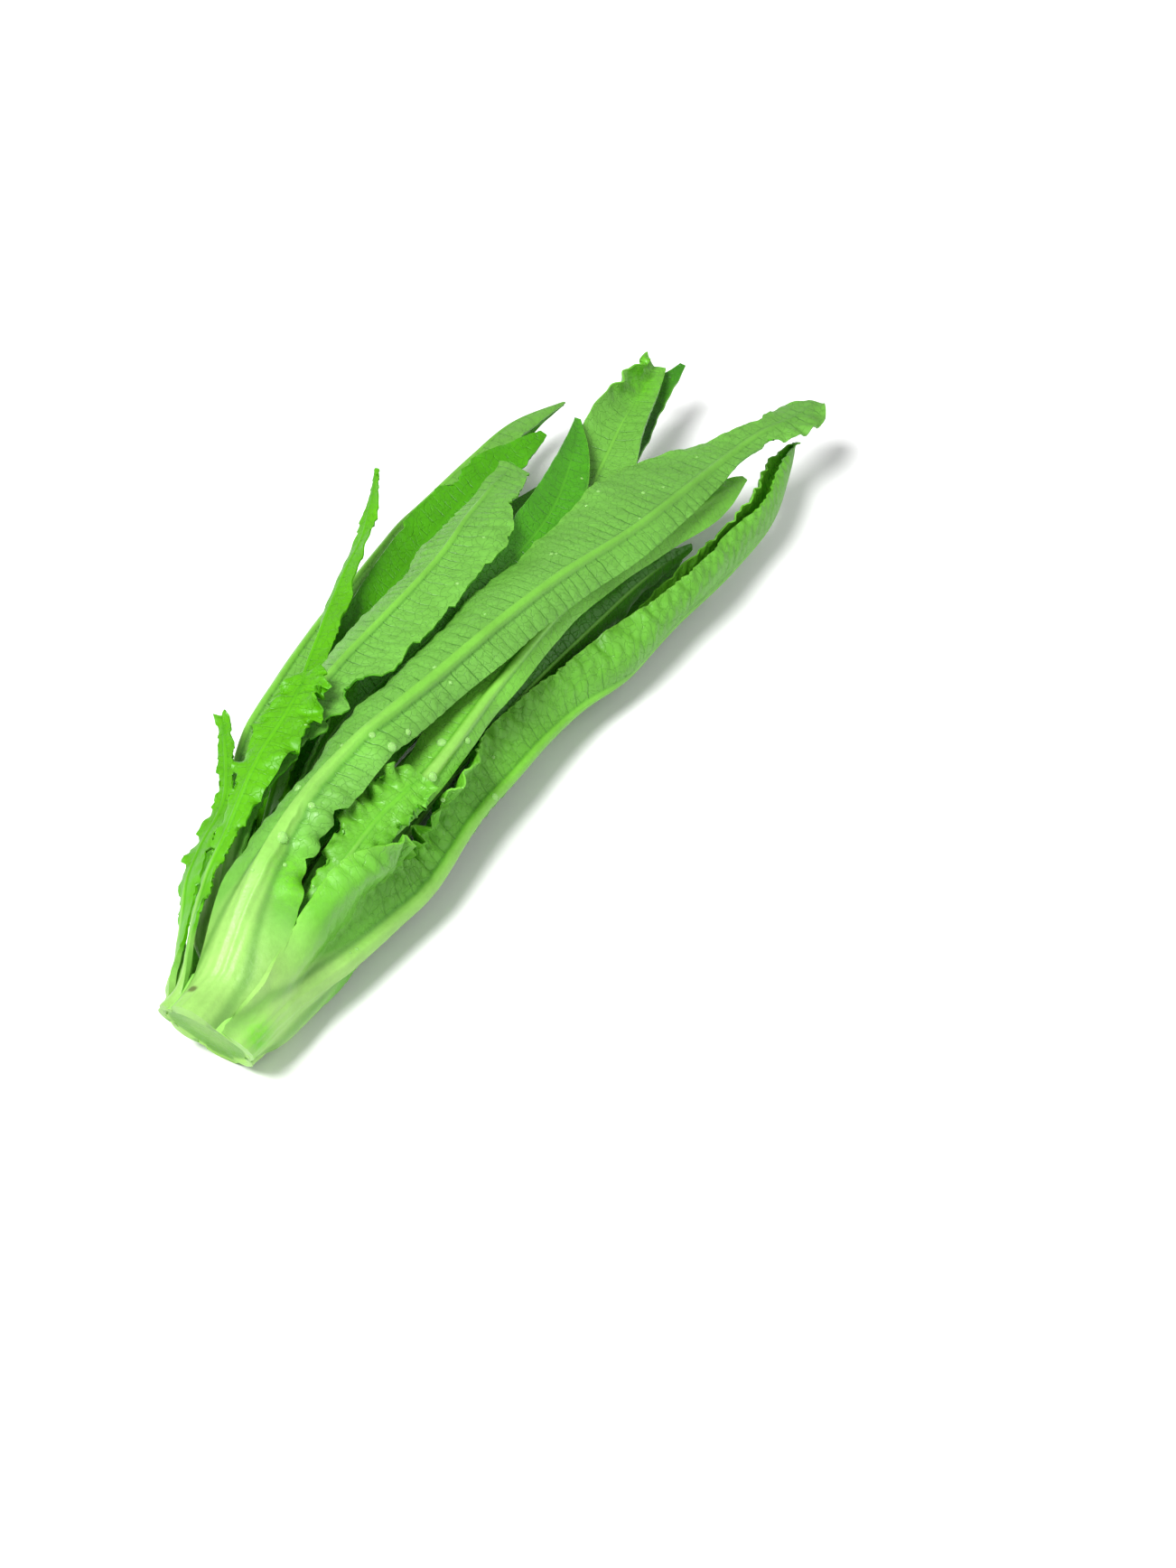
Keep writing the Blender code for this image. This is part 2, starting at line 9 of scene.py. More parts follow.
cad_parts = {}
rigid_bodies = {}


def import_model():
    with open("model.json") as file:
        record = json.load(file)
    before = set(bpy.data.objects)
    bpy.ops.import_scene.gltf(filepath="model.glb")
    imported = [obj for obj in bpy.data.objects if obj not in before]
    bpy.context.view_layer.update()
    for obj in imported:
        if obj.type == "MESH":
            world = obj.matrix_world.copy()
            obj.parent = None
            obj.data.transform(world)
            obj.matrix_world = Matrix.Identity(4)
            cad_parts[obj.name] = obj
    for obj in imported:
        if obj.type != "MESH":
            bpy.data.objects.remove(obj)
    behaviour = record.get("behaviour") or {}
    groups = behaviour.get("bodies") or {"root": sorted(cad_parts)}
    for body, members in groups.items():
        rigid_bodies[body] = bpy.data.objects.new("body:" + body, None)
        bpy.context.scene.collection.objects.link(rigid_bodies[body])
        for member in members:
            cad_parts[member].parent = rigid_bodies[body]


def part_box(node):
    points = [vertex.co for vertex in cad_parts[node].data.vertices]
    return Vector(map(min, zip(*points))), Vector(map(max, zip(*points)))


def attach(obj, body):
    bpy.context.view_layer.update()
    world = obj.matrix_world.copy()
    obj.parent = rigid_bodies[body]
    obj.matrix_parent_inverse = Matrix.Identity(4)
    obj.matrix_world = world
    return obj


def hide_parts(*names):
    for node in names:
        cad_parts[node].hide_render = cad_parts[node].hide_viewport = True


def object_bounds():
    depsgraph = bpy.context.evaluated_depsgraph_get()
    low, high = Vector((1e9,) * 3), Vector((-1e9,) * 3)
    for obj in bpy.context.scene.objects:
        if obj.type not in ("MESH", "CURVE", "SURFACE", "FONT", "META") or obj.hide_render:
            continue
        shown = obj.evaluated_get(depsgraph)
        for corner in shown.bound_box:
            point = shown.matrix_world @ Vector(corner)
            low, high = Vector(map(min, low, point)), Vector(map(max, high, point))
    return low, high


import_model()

cad_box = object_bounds()


# Stump
# The short stem that is left under the knife: pale, wet and solid, a little wider at its cut end
# where the outer leaves grow from it, and drawn in to a core inside the head. Lengths are in
# millimetres from the middle of the cut, with the tips at +X, until a piece is moved to its place.
MM = 0.001
AXIS = ((0, -0.3, 17), (20, 0, 17.5), (60, 2, 20), (120, 5, 17), (200, 10, 13), (310, 14, 10))
CORE = ((0, 12.2), (14, 12.2), (21, 11.2), (34, 9.5), (50, 7.0), (62, 5.0))
COLLAR = ((-7, 12.6), (2, 13.0), (6, 13.4), (9.3, 13.9))
STUMP_RINGS = (0, 3, 6, 9.3, 9.8, 14, 18.5, 20.5, 27, 34, 42, 50, 57, 62)
STUMP_TURN = 7.5
CUT_SLOPE = np.tan(np.radians(22))
STUB_ANGLE = 272
STUB_HALF = 20
STUB_RADIUS = 17.3
STUB_EDGE = 2.6
STUB_END = 18.5
LIE_LEVEL = 0.4
FINE_RINGS = 110
FINE_SIDES = 144
# Rings that are set in on the cut, as shares of its radius
CUT_RINGS = (0.06, 0.10, 0.10, 0.10, 0.12, 0.12, 0.12, 0.10)
CUT_BACK = 0.6
CUT_HOLLOW = 1.5
CUT_WOBBLE = 0.12
CUT_WOBBLES = 7
# Rings crowd towards the cut by this power
RING_CROWDING = 1.4
# Low ridges that run along the core where leaves leave it, in a slow twist, and die out towards it
RIDGE = 0.25
RIDGES = 9
RIDGE_TWIST = 0.3
RIDGE_FADE = 40


def read(table, x, column=1):
    table = np.array(table, float)
    return np.interp(x, table[:, 0], table[:, column])


def axis_at(x):
    return read(AXIS, x), read(AXIS, x, 2)


def stump_radius(x, angle, collar=True):
    radius = read(CORE, x)
    if collar and x < COLLAR[-1][0] + 0.1:
        radius = read(COLLAR, x)
    off = abs((angle - STUB_ANGLE + 180) % 360 - 180)
    if off < STUB_HALF and x <= STUB_END:
        radius = max(radius, STUB_RADIUS - STUB_EDGE * (off / STUB_HALF) ** 2)
    return radius


def stump_point(x, angle, collar=True):
    y, z = axis_at(x)
    radius = stump_radius(x, angle, collar)
    a = np.radians(angle)
    return x, y + radius * np.cos(a), max(z + radius * np.sin(a), LIE_LEVEL)


def clamp(values):
    return np.clip(values, 0, 1)


def lean(x, z):
    """How far the sloping cut carries a ring back at this height."""
    return clamp(1 - x / COLLAR[-1][0]) * CUT_SLOPE * (z - AXIS[0][2])


# The plain stump's low corner, set against the node's, says where the head stands
corner = np.full(3, np.inf)
for ring in STUMP_RINGS:
    for angle in np.arange(0, 360, STUMP_TURN):
        x, y, z = stump_point(ring, angle)
        corner = np.minimum(corner, (x - lean(x, z), y, z))
STANDS_AT = corner - np.array(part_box("stem")[0]) / MM


def placed(mesh):
    """Moves a mesh from the stem's own millimetres to metres in the shared frame."""
    bmesh.ops.translate(mesh, vec=Vector(-STANDS_AT), verts=mesh.verts)
    bmesh.ops.scale(mesh, vec=(MM, MM, MM), verts=mesh.verts)
    return mesh


def feed(tree, made, inputs):
    """Links each of a node's sockets, or gives it a value."""
    for name, value in inputs.items():
        if isinstance(value, bpy.types.NodeSocket):
            tree.links.new(value, made.inputs[name])
        else:
            made.inputs[name].default_value = value


def node(tree, kind, inputs=None, **settings):
    made = tree.nodes.new("ShaderNode" + kind)
    for name, value in settings.items():
        setattr(made, name, value)
    feed(tree, made, inputs or {})
    return made


def material(name):
    """A new material, its node tree and its shader."""
    made = bpy.data.materials.new(name)
    made.use_nodes = True
    tree = made.node_tree
    return made, tree, tree.nodes["Principled BSDF"]


def group(name, inputs, outputs):
    """An empty node group with named sockets, and its two end nodes."""
    tree = bpy.data.node_groups.new(name, "ShaderNodeTree")
    for where, sockets in (("INPUT", inputs), ("OUTPUT", outputs)):
        for label, kind in sockets.items():
            tree.interface.new_socket(label, in_out=where, socket_type="NodeSocket" + kind)
    return tree, tree.nodes.new("NodeGroupInput"), tree.nodes.new("NodeGroupOutput")


def ramp(value, low, high, to_low=0.0, to_high=1.0):
    """A smooth step from to_low at low to to_high at high."""
    inputs = {0: value, 1: low, 2: high, 3: to_low, 4: to_high}
    return node(value.id_data, "MapRange", inputs, interpolation_type="SMOOTHSTEP").outputs[0]


# The colour sockets of a Mix node, by number because its kinds of socket share their names
MIX_FIRST = 6
MIX_SECOND = 7
MIX_RESULT = 2


def blend(share, first, second):
    """A mix of two colours by a share."""
    inputs = {0: share, MIX_FIRST: first, MIX_SECOND: second}
    return node(share.id_data, "Mix", inputs, data_type="RGBA").outputs[MIX_RESULT]


def maths(operation, *values):
    """One step of arithmetic, in the tree of the first value that a node gives."""
    tree = next(value.id_data for value in values if isinstance(value, bpy.types.NodeSocket))
    return node(tree, "Math", dict(enumerate(values)), operation=operation).outputs[0]


def times(first, *others):
    """Numbers multiplied together."""
    for other in others:
        first = maths("MULTIPLY", first, other)
    return first


def noise(where, scale, detail=3.0, rough=0.55):
    inputs = {"Vector": where, "Scale": scale, "Detail": detail, "Roughness": rough}
    return node(where.id_data, "TexNoise", inputs).outputs[0]


# Flecks: the uneven green of living tissue, used by the stump and by every leaf
FLECKS, flecks_in, flecks_out = group(
    "tissue_flecks",
    {"Patch Size": "Float", "Fleck Size": "Float", "Depth": "Float"},
    {"Shade": "Float", "Grain": "Float"},
)
place = node(FLECKS, "TexCoord").outputs["Object"]
patch_scale = maths("DIVIDE", 1.0, flecks_in.outputs["Patch Size"])
fleck_scale = maths("DIVIDE", 1.0, flecks_in.outputs["Fleck Size"])
patches = noise(place, patch_scale, 2.0)
grain = noise(place, fleck_scale, 3.0, 0.6)
both = maths("ADD", patches, times(grain, 0.5))
swing = times(maths("SUBTRACT", both, 0.75), flecks_in.outputs["Depth"])
feed(FLECKS, flecks_out, {"Shade": maths("ADD", swing, 1.0), "Grain": grain})


def shaded(colour, shade):
    """A colour made lighter or darker by a number near 1."""
    inputs = {0: colour, "Scale": shade}
    return node(shade.id_data, "VectorMath", inputs, operation="SCALE").outputs[0]


def flecked(tree, patch, fleck, depth):
    """The flecks in a material, with their two sizes in metres."""
    sizes = {"Patch Size": patch, "Fleck Size": fleck, "Depth": depth}
    return node(tree, "Group", sizes, node_tree=FLECKS)


def measured(tree, name):
    """A number that the mesh carries at each of its points."""
    return node(tree, "Attribute", attribute_name=name).outputs["Fac"]


def stump_material():
    """Wet flesh: pale skin on the side, and on the cut a ring of greener vessels round the pith."""
    made, tree, shader = material("stump_flesh")
    flecks = flecked(tree, 0.009, 0.0012, 0.35)
    cut = measured(tree, "on_cut")
    rim = measured(tree, "cut_radius")
    far = measured(tree, "from_cut")
    face = blend(ramp(rim, 0.35, 0.72), (0.16, 0.37, 0.05, 1), (0.11, 0.31, 0.025, 1))
    face = blend(ramp(rim, 0.82, 0.96), face, (0.30, 0.58, 0.10, 1))
    streaks = noise(node(tree, "TexCoord").outputs["Object"], 900.0, 4.0, 0.7)
    face = blend(ramp(streaks, 0.5, 0.75, 0, 0.35), face, (0.07, 0.25, 0.015, 1))
    side = blend(ramp(far, 0, 26), (0.25, 0.56, 0.10, 1), (0.14, 0.44, 0.04, 1))
    colour = shaded(blend(cut, side, face), flecks.outputs["Shade"])
    height = maths("ADD", flecks.outputs["Grain"], times(streaks, 0.6))
    bump = node(tree, "Bump", {"Strength": 0.5, "Distance": 0.0004, "Height": height})
    feed(tree, shader, {
        "Base Color": colour, "Roughness": ramp(flecks.outputs["Grain"], 0.3, 0.8, 0.45, 0.65),
        "Normal": bump.outputs[0], "Specular IOR Level": 0.2, "Subsurface Weight": 0.12,
        "Subsurface Radius": (0.35, 1.0, 0.2), "Subsurface Scale": 0.003,
    })
    return made


def put(name, data):
    made = bpy.data.objects.new(name, data)
    bpy.context.scene.collection.objects.link(made)
    return made


def finished(name, mesh, skin, slot, *stands_for, smooth=60):
    """An object from a mesh, smooth but for its sharp edges, riding with the head."""
    bmesh.ops.recalc_face_normals(mesh, faces=mesh.faces)
    data = bpy.data.meshes.new(name)
    mesh.to_mesh(data)
    mesh.free()
    data.shade_smooth()
    data.set_sharp_from_angle(angle=np.radians(smooth))
    data.materials.append(skin)
    made = put(name, data)
    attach(made, "root")
    if stands_for:
        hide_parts(*stands_for)
    return made


def keep(made, **numbers):
    """Stores numbers at the points of a finished piece."""
    for name, values in numbers.items():
        stored = made.data.attributes.new(name, "FLOAT", "POINT")
        stored.data.foreach_set("value", np.ascontiguousarray(values, np.float32))


def stump():
    """A drum cut into fine rings, then drawn in, ribbed where the leaves leave it and cut off."""
    mesh = bmesh.new()
    bmesh.ops.create_cone(mesh, cap_ends=True, segments=FINE_SIDES, radius1=1, radius2=1, depth=1)
    upright = [edge for edge in mesh.edges if abs(edge.verts[0].co.z - edge.verts[1].co.z) > 0.5]
    bmesh.ops.subdivide_edges(mesh, edges=upright, cuts=FINE_RINGS - 2, use_grid_fill=True)
    cut = next(face for face in mesh.faces if len(face.verts) > 4 and face.calc_center_median().z < 0)
    for step in CUT_RINGS:
        bmesh.ops.inset_region(mesh, faces=[cut], thickness=step)
    bmesh.ops.poke(mesh, faces=[cut])
    end = CORE[-1][0]
    numbers = []
    for vert in mesh.verts:
        span = np.hypot(vert.co.x, vert.co.y)
        angle = np.degrees(np.arctan2(vert.co.y, vert.co.x)) % 360
        share = vert.co.z + 0.5
        on_cut = share < 1e-4
        x = CUT_BACK + (end - CUT_BACK) * share**RING_CROWDING
        x, y, z = stump_point(x, angle)
        if x > COLLAR[-1][0]:
            twist = np.radians(angle) * RIDGES + x * RIDGE_TWIST
            y += RIDGE * np.sin(twist) * clamp((end - x) / RIDGE_FADE)
        if on_cut:
            middle_y, middle_z = axis_at(0)
            wobble = CUT_WOBBLE * np.sin(CUT_WOBBLES * np.radians(angle)) * span
            y = middle_y + (y - middle_y) * span
            z = middle_z + (z - middle_z) * span
            x = CUT_BACK + CUT_HOLLOW * (1 - span**2) + wobble
        vert.co = (x - lean(0 if on_cut else x - CUT_BACK, z), y, z)
        numbers.append((float(on_cut), min(span, 1.0), x))
    made = finished("stem_flesh", placed(mesh), stump_material(), "stump", "stem", smooth=50)
    on_cut, radius, far = np.array(numbers).T
    keep(made, on_cut=on_cut, cut_radius=radius, from_cut=far)
    return made


stump()


# Heart leaves
# The youngest leaves, two narrow blades shut in at the middle of the head, painted a very dark green
# for the shade they lie in. Like every leaf of it they are one living piece: a thin blade on a rib
# that stands on its outer side, crossed by side veins, and grown straight from the stump. A later
# leaf lies on those that came before it.
BLADE = 0.8
MARGIN_BLADE = 0.5
MARGIN_BAND = 3
ROOT_EXTRA = 0.5
ROOT_FADE = 10
THINNEST_HALF = 0.5
# The rib's half width: the share that is left at the tip, how fast it narrows, its least, and what
# the fine leaf keeps of it
RIB_SLIM = 0.3
RIB_FADE = 0.15
RIB_LEAST = 0.3
FINE_RIB = 0.6
# Fine grooves that run along the foot of a rib
GROOVE_DEPTH = 0.10
GROOVE_SPACING = 2.4
GROOVE_FADE = 0.35
# The crease over the rib is full from this share of the length on
CREASE_START = 0.12
COLUMN_CROWDING = 1.3
DEEPEST_BITE = 0.75
NICKS_START = 12
LEAST_BEND = 0.001
# How a side vein leans and bends as it leaves the rib, the furrow it lies in, and how far from the
# rib and from the root the blade is smooth
VEIN_LEAN = 0.04
VEIN_BEND = 0.012
VEIN_FURROW = 0.6
SMOOTH_BY_RIB = 2.5
SMOOTH_FOOT = 15
# The gap that leaves keep, at places along the head. One has settled when it is too close by less
# than SETTLED, and a row that moves drags its neighbours along by the share DRAG.
GAP = ((25, 0.4), (60, 1.0))
SETTLED = 0.05
DRAG = 0.45
LOWEST_MIDDLE = LIE_LEVEL + 0.35
ROOT_START = 10.2
STEP = 2.0
TURN = 2.5
ALONG = np.arange(-6, 330, STEP)
ROUND = 144
SETTLE_TURNS = 4
# A root nearer the cut than this grows from the collar, and its blade runs on over it to the cut
COLLAR_ROOTS = 13
ROOT_ROWS = 18
ROOT_BURIED = 6
ROOT_SINKS = 1.2
# At the cut a foot is a little narrower, stands off the collar, and sinks into it at its margins
FOOT_NARROWS = 0.94
FOOT_STANDS = 0.4
FOOT_MARGIN_SINKS = 1.5
UV_SPAN = 10.0
# A margin whose teeth are no deeper than this share of its half is smooth
SMOOTH_TEETH = 0.05
# The corners of the room that the plain head takes up, which no ruffle quite reaches
WITHIN = 0.9999
ROOM = [np.array(corner) / MM * WITHIN + STANDS_AT for corner in cad_box]
# A small brown bruise on the feet, and patches of painted light, a brighter green where light shines
# through the thin blade: where and how wide
BRUISE = ((2.5, 3.1, 28.9), 1.5)
BACKLIT_SPOTS = (
    ((4, -13, 21), 4.5), ((40, -4, 41), 7.0), ((64, -6, 35), 6.0), ((82, -13, 29), 7.0),
    ((284, 33, 30), 10.0),
)


def along(keys, place, where):
    """A smooth curve through the keys, read at each place asked for."""
    slope = np.gradient(keys, place, axis=0)
    k = np.clip(np.searchsorted(place, where, side="right") - 1, 0, len(place) - 2)
    step = (place[k + 1] - place[k])[:, None]
    s = (where - place[k])[:, None] / step
    return (
        (2 * s**3 - 3 * s**2 + 1) * keys[k]
        + (s**3 - 2 * s**2 + s) * slope[k] * step
        + (3 * s**2 - 2 * s**3) * keys[k + 1]
        + (s**3 - s**2) * slope[k + 1] * step
    )


def unit(vectors):
    return vectors / np.linalg.norm(vectors, axis=-1, keepdims=True)


def across(columns):
    """Places from the rib to the margin, closer together beside the rib."""
    return np.linspace(0, 1, columns + 1) ** COLUMN_CROWDING


def both_halves(columns):
    return np.r_[-across(columns)[:0:-1], across(columns)]


def stations(spec, count):
    rows = spec["rows"]
    place = np.r_[0, np.cumsum(np.linalg.norm(np.diff(rows[:, :3], axis=0), axis=1))]
    where = np.linspace(0, place[-1], count)
    return where, along(rows, place, where)


def sheet(spec, size, fine=False):
    """The middle surface of a leaf before it settles, and how far each point lies from the rib."""
    count, columns = size
    where, values = stations(spec, count)
    u = where / where[-1]
    spine = values[:, :3]
    tangent = unit(np.gradient(spine, where, axis=0))
    side = unit(np.cross((0, 0, 1.0), tangent))
    up = np.cross(tangent, side)
    phase = np.random.default_rng(spec["seed"]).uniform(0, 2 * np.pi, 6)
    height, waves = spec["ruffle"]
    depth, teeth = spec["teeth"]
    points = np.zeros((count, 2 * columns + 1, 3))
    points[:, columns] = spine
    reach = np.zeros((count, 2 * columns + 1))
    for half, sign in enumerate((-1, 1)):
        width, fold = values[:, 4 + half], np.radians(values[:, 6 + half])
        tooth = (teeth * u + phase[2 + half] + 0.3 * np.sin(11 * u + phase[4 + half])) % 1
        width = np.maximum(width, THINNEST_HALF)
        bite = depth * tooth * clamp(8 * u) * clamp(8 * (1 - u))
        if fine:
            if depth <= SMOOTH_TEETH:
                bite = depth / 2 + 0 * bite
            bite = torn(spec, bite, where, width, sign, phase)
        else:
            width = width * (1 - bite)
            bite = 0 * bite
        crease = spec["crease"] * clamp(u / CREASE_START)
        bend = fold * (1 - crease)
        bend = np.where(np.abs(bend) < LEAST_BEND, LEAST_BEND, bend)
        start = np.radians(values[:, 3]) + sign * (np.pi / 2 + fold * crease)
        turn = 2 * np.pi * waves * u
        wave = np.sin(turn + phase[half]) + 0.5 * np.sin(1.9 * turn + phase[1 - half])
        for j, s in enumerate(across(columns)[1:], 1):
            s = s * (1 - bite * s**3)
            end = start + sign * bend * s
            over = sign * width * (np.sin(end) - np.sin(start)) / bend
            above = -sign * width * (np.cos(end) - np.cos(start)) / bend
            lift = height * s**2 * clamp(width / 10) * wave
            points[:, columns + sign * j] = (
                spine
                + (over - lift * np.sin(end))[:, None] * side
                + (above + lift * np.cos(end))[:, None] * up
            )
            reach[:, columns + sign * j] = s * width
    if not fine:
        points[..., 0] = np.maximum(points[..., 0], ROOT_START)
    points[..., 2] = np.maximum(points[..., 2], LOWEST_MIDDLE)
    return points, u, reach


def torn(spec, bite, where, width, sign, phase):
    """The share of a half that teeth, nicks and tears take away, or fuller places add, row by row."""
    nick, spacing = spec["nicks"]
    saw = where / spacing + 0.4 * np.sin(where / 2.3 + phase[2])
    saw = saw + 0.9 * np.sin(where / 8.3 + phase[3])
    rise = 0.45 + 0.3 * np.sin(where / 9.0 + phase[4] + sign) + 0.25 * np.sin(where / 2.9 + phase[1])
    bite = bite + nick / width * (saw % 1) * rise * clamp(where / NICKS_START)
    for half, middle, spread_out, share in spec["tears"]:
        if half == sign:
            near = clamp(1 - np.abs(where - middle) / spread_out)
            rough = 0.85 + 0.15 * np.sin(where * 2.3 + phase[5])
            bite = np.maximum(bite, share * rough * near**0.6)
    bite = np.clip(bite, 0, DEEPEST_BITE)
    for half, middle, spread_out, share in spec["fuller"]:
        if half == sign:
            bite = bite - share * clamp(1 - ((where - middle) / spread_out) ** 2)
    return bite


def rib_half(spec, u, fine=False):
    fade = np.exp(-u / RIB_FADE)
    half = spec["rib"][0] * (RIB_SLIM + (1 - RIB_SLIM) * fade) + RIB_LEAST
    return half * (FINE_RIB + (1 - FINE_RIB) * fade) if fine else half


def faces_of(points, u, reach, spec, fine=False):
    """The inner face, and the outer face with the rib standing on it."""
    normal = unit(np.cross(np.gradient(points, axis=0), -np.gradient(points, axis=1)))
    half = rib_half(spec, u, fine)
    height = spec["rib"][1] * (1 - u) ** 0.8 * np.clip(u / 0.1, 0.35 if fine else 0, 1)
    if fine:
        height = height * (0.8 + 0.2 * np.exp(-u / RIB_FADE)) * spec["rise"]
    power = 2.6 if fine else 2
    ridge = height[:, None] * np.exp(-((reach / (0.6 * half[:, None])) ** power))
    blade = (BLADE / 2 + ROOT_EXTRA * np.exp(-ROOT_FADE * u))[:, None]
    if fine:
        edge = clamp(1 - (reach.max(axis=1, keepdims=True) - reach) / MARGIN_BAND)
        blade = blade - (BLADE - MARGIN_BLADE) / 2 * edge
        groove = GROOVE_DEPTH * np.cos(reach * 2 * np.pi / GROOVE_SPACING)
        ridge = ridge * (1 - groove * np.exp(-u / GROOVE_FADE)[:, None])
    inner = points - normal * blade[..., None]
    outer = points + normal * (blade + ridge)[..., None]
    outer[..., 2] = np.maximum(outer[..., 2], LIE_LEVEL)
    return inner, outer


def polar(points):
    """Radius from the axis, with the place along and round it in steps of the raster."""
    y, z = axis_at(points[..., 0])
    radius = np.hypot(points[..., 1] - y, points[..., 2] - z)
    angle = np.degrees(np.arctan2(points[..., 2] - z, points[..., 1] - y)) % 360
    return radius, (points[..., 0] - ALONG[0]) / STEP, angle / TURN


def cells(points):
    radius, i, j = polar(points)
    i = np.clip(np.round(i).astype(int), 0, len(ALONG) - 1)
    return radius, i, np.round(j).astype(int) % ROUND


def dense(points, parts=6):
    """The same surface with each square cut into parts by parts."""
    for turn in range(2):
        place = np.linspace(0, len(points) - 1, (len(points) - 1) * parts + 1)
        low = np.clip(place.astype(int), 0, len(points) - 2)
        share = (place - low)[:, None, None]
        points = (points[low] * (1 - share) + points[low + 1] * share).transpose(1, 0, 2)
    return points


def spread(field, reach=1):
    """The largest value within a few cells."""
    found = field
    for i in range(-reach, reach + 1):
        for j in range(-reach, reach + 1):
            found = np.maximum(found, np.roll(field, (i, j), (0, 1)))
    return found


def blur(field, turns):
    for turn in range(turns):
        padded = np.pad(field, ((1, 1), (0, 0)), mode="edge")
        field = (padded[:-2] + 2 * padded[1:-1] + padded[2:]) / 4
        field = (np.roll(field, 1, 1) + 2 * field + np.roll(field, -1, 1)) / 4
    return field


def lookup(field, i, j):
    """The field between its cells."""
    i = np.clip(i, 0, len(ALONG) - 1.001)
    low, first = i.astype(int), j.astype(int)
    a, b = i - low, j - first
    first, second = first % ROUND, (first + 1) % ROUND
    near = field[low, first] * (1 - a) + field[low + 1, first] * a
    return near * (1 - b) + (field[low, second] * (1 - a) + field[low + 1, second] * a) * b


# What stands round the axis so far, as a radius in each cell
filled = np.zeros((len(ALONG), ROUND))
for x in np.arange(0, CORE[-1][0], 1.0):
    for angle in np.arange(0, 360, 1.0):
        radius, i, j = cells(np.array(stump_point(x, angle, collar=False)))
        filled[i, j] = max(filled[i, j], radius)


def settle(points, u, reach, spec):
    """Moves a leaf off the axis wherever it would come too close to what it lies on."""
    held = spread(filled)
    gap = read(GAP, ALONG)[:, None]
    for turn in range(SETTLE_TURNS):
        low = np.full(filled.shape, np.inf)
        for face in faces_of(points, u, reach, spec):
            radius, i, j = cells(dense(face))
            np.minimum.at(low, (i, j), radius)
        need = np.where(np.isfinite(low) & (held > 0), np.maximum(0, held + gap - low), 0)
        if need.max() < SETTLED:
            break
        lift = spread(need)
        lift = np.maximum(lift, blur(spread(lift, 2), 6))
        radius, i, j = polar(points)
        move = lookup(lift, i, j)
        move = np.maximum(move, DRAG * (np.roll(move, 1, 0) + np.roll(move, -1, 0)))
        y, z = axis_at(points[..., 0])
        away = np.stack((0 * radius, points[..., 1] - y, points[..., 2] - z), -1) / radius[..., None]
        points = points + away * move[..., None]
        points[..., 2] = np.maximum(points[..., 2], LOWEST_MIDDLE)
    return points


def carried(move, u, size, fine_u, fine_size):
    """The move of each coarse point, spread smoothly over the finer points."""
    rows = along(move.reshape(len(move), -1), u, fine_u).reshape(len(fine_u), -1, 3)
    rows = rows.transpose(1, 0, 2)
    columns = along(rows.reshape(len(rows), -1), both_halves(size[1]), both_halves(fine_size[1]))
    return columns.reshape(2 * fine_size[1] + 1, -1, 3).transpose(1, 0, 2)


def rooted(points, reach, rows):
    """Carries a leaf's foot back, over the collar to the cut or down into the core."""
    foot, later = points[0], points[4]
    radius, i, turn = polar(foot)
    radius_later = polar(later)[0]
    turn = np.radians(turn * TURN)
    middle = turn[len(turn) // 2]
    turn = middle + (turn - middle + np.pi) % (2 * np.pi) - np.pi
    share = np.linspace(-1, 1, len(turn))
    if rows[0, 0] < COLLAR_ROOTS:
        end_turn = middle + (turn - middle) * FOOT_NARROWS
        skin = np.array([stump_radius(0, np.degrees(a)) for a in end_turn])
        end_radius = skin + FOOT_STANDS - FOOT_MARGIN_SINKS * np.abs(share) ** 3
        height = AXIS[0][2] + end_radius * np.sin(end_turn)
        end_x = CUT_BACK - CUT_SLOPE * (height - AXIS[0][2])
        count = ROOT_ROWS
    else:
        end_turn = turn
        end_x = foot[:, 0] - ROOT_BURIED
        end_radius = np.array([stump_radius(x, 0, collar=False) for x in end_x]) - ROOT_SINKS
        count = ROOT_ROWS // 2
    run = foot[:, 0] - end_x
    slope = np.clip((radius_later - radius) / np.maximum(later[:, 0] - foot[:, 0], 0.5), -1.0, 1.0)
    s = np.linspace(0, 1, count, endpoint=False)[:, None]
    r = (
        (2 * s**3 - 3 * s**2 + 1) * end_radius
        + (3 * s**2 - 2 * s**3) * radius
        + (s**3 - s**2) * slope * run
    )
    a = end_turn + (turn - end_turn) * s
    x = end_x + run * s
    y, z = axis_at(x)
    added = np.stack((x, y + r * np.cos(a), z + r * np.sin(a)), -1)
    added[..., 2] = np.maximum(added[..., 2], LOWEST_MIDDLE)
    distance = -(1 - s[:, 0]) * run[len(run) // 2]
    return np.concatenate((added, points)), np.concatenate((reach[:1] * r / radius, reach)), distance


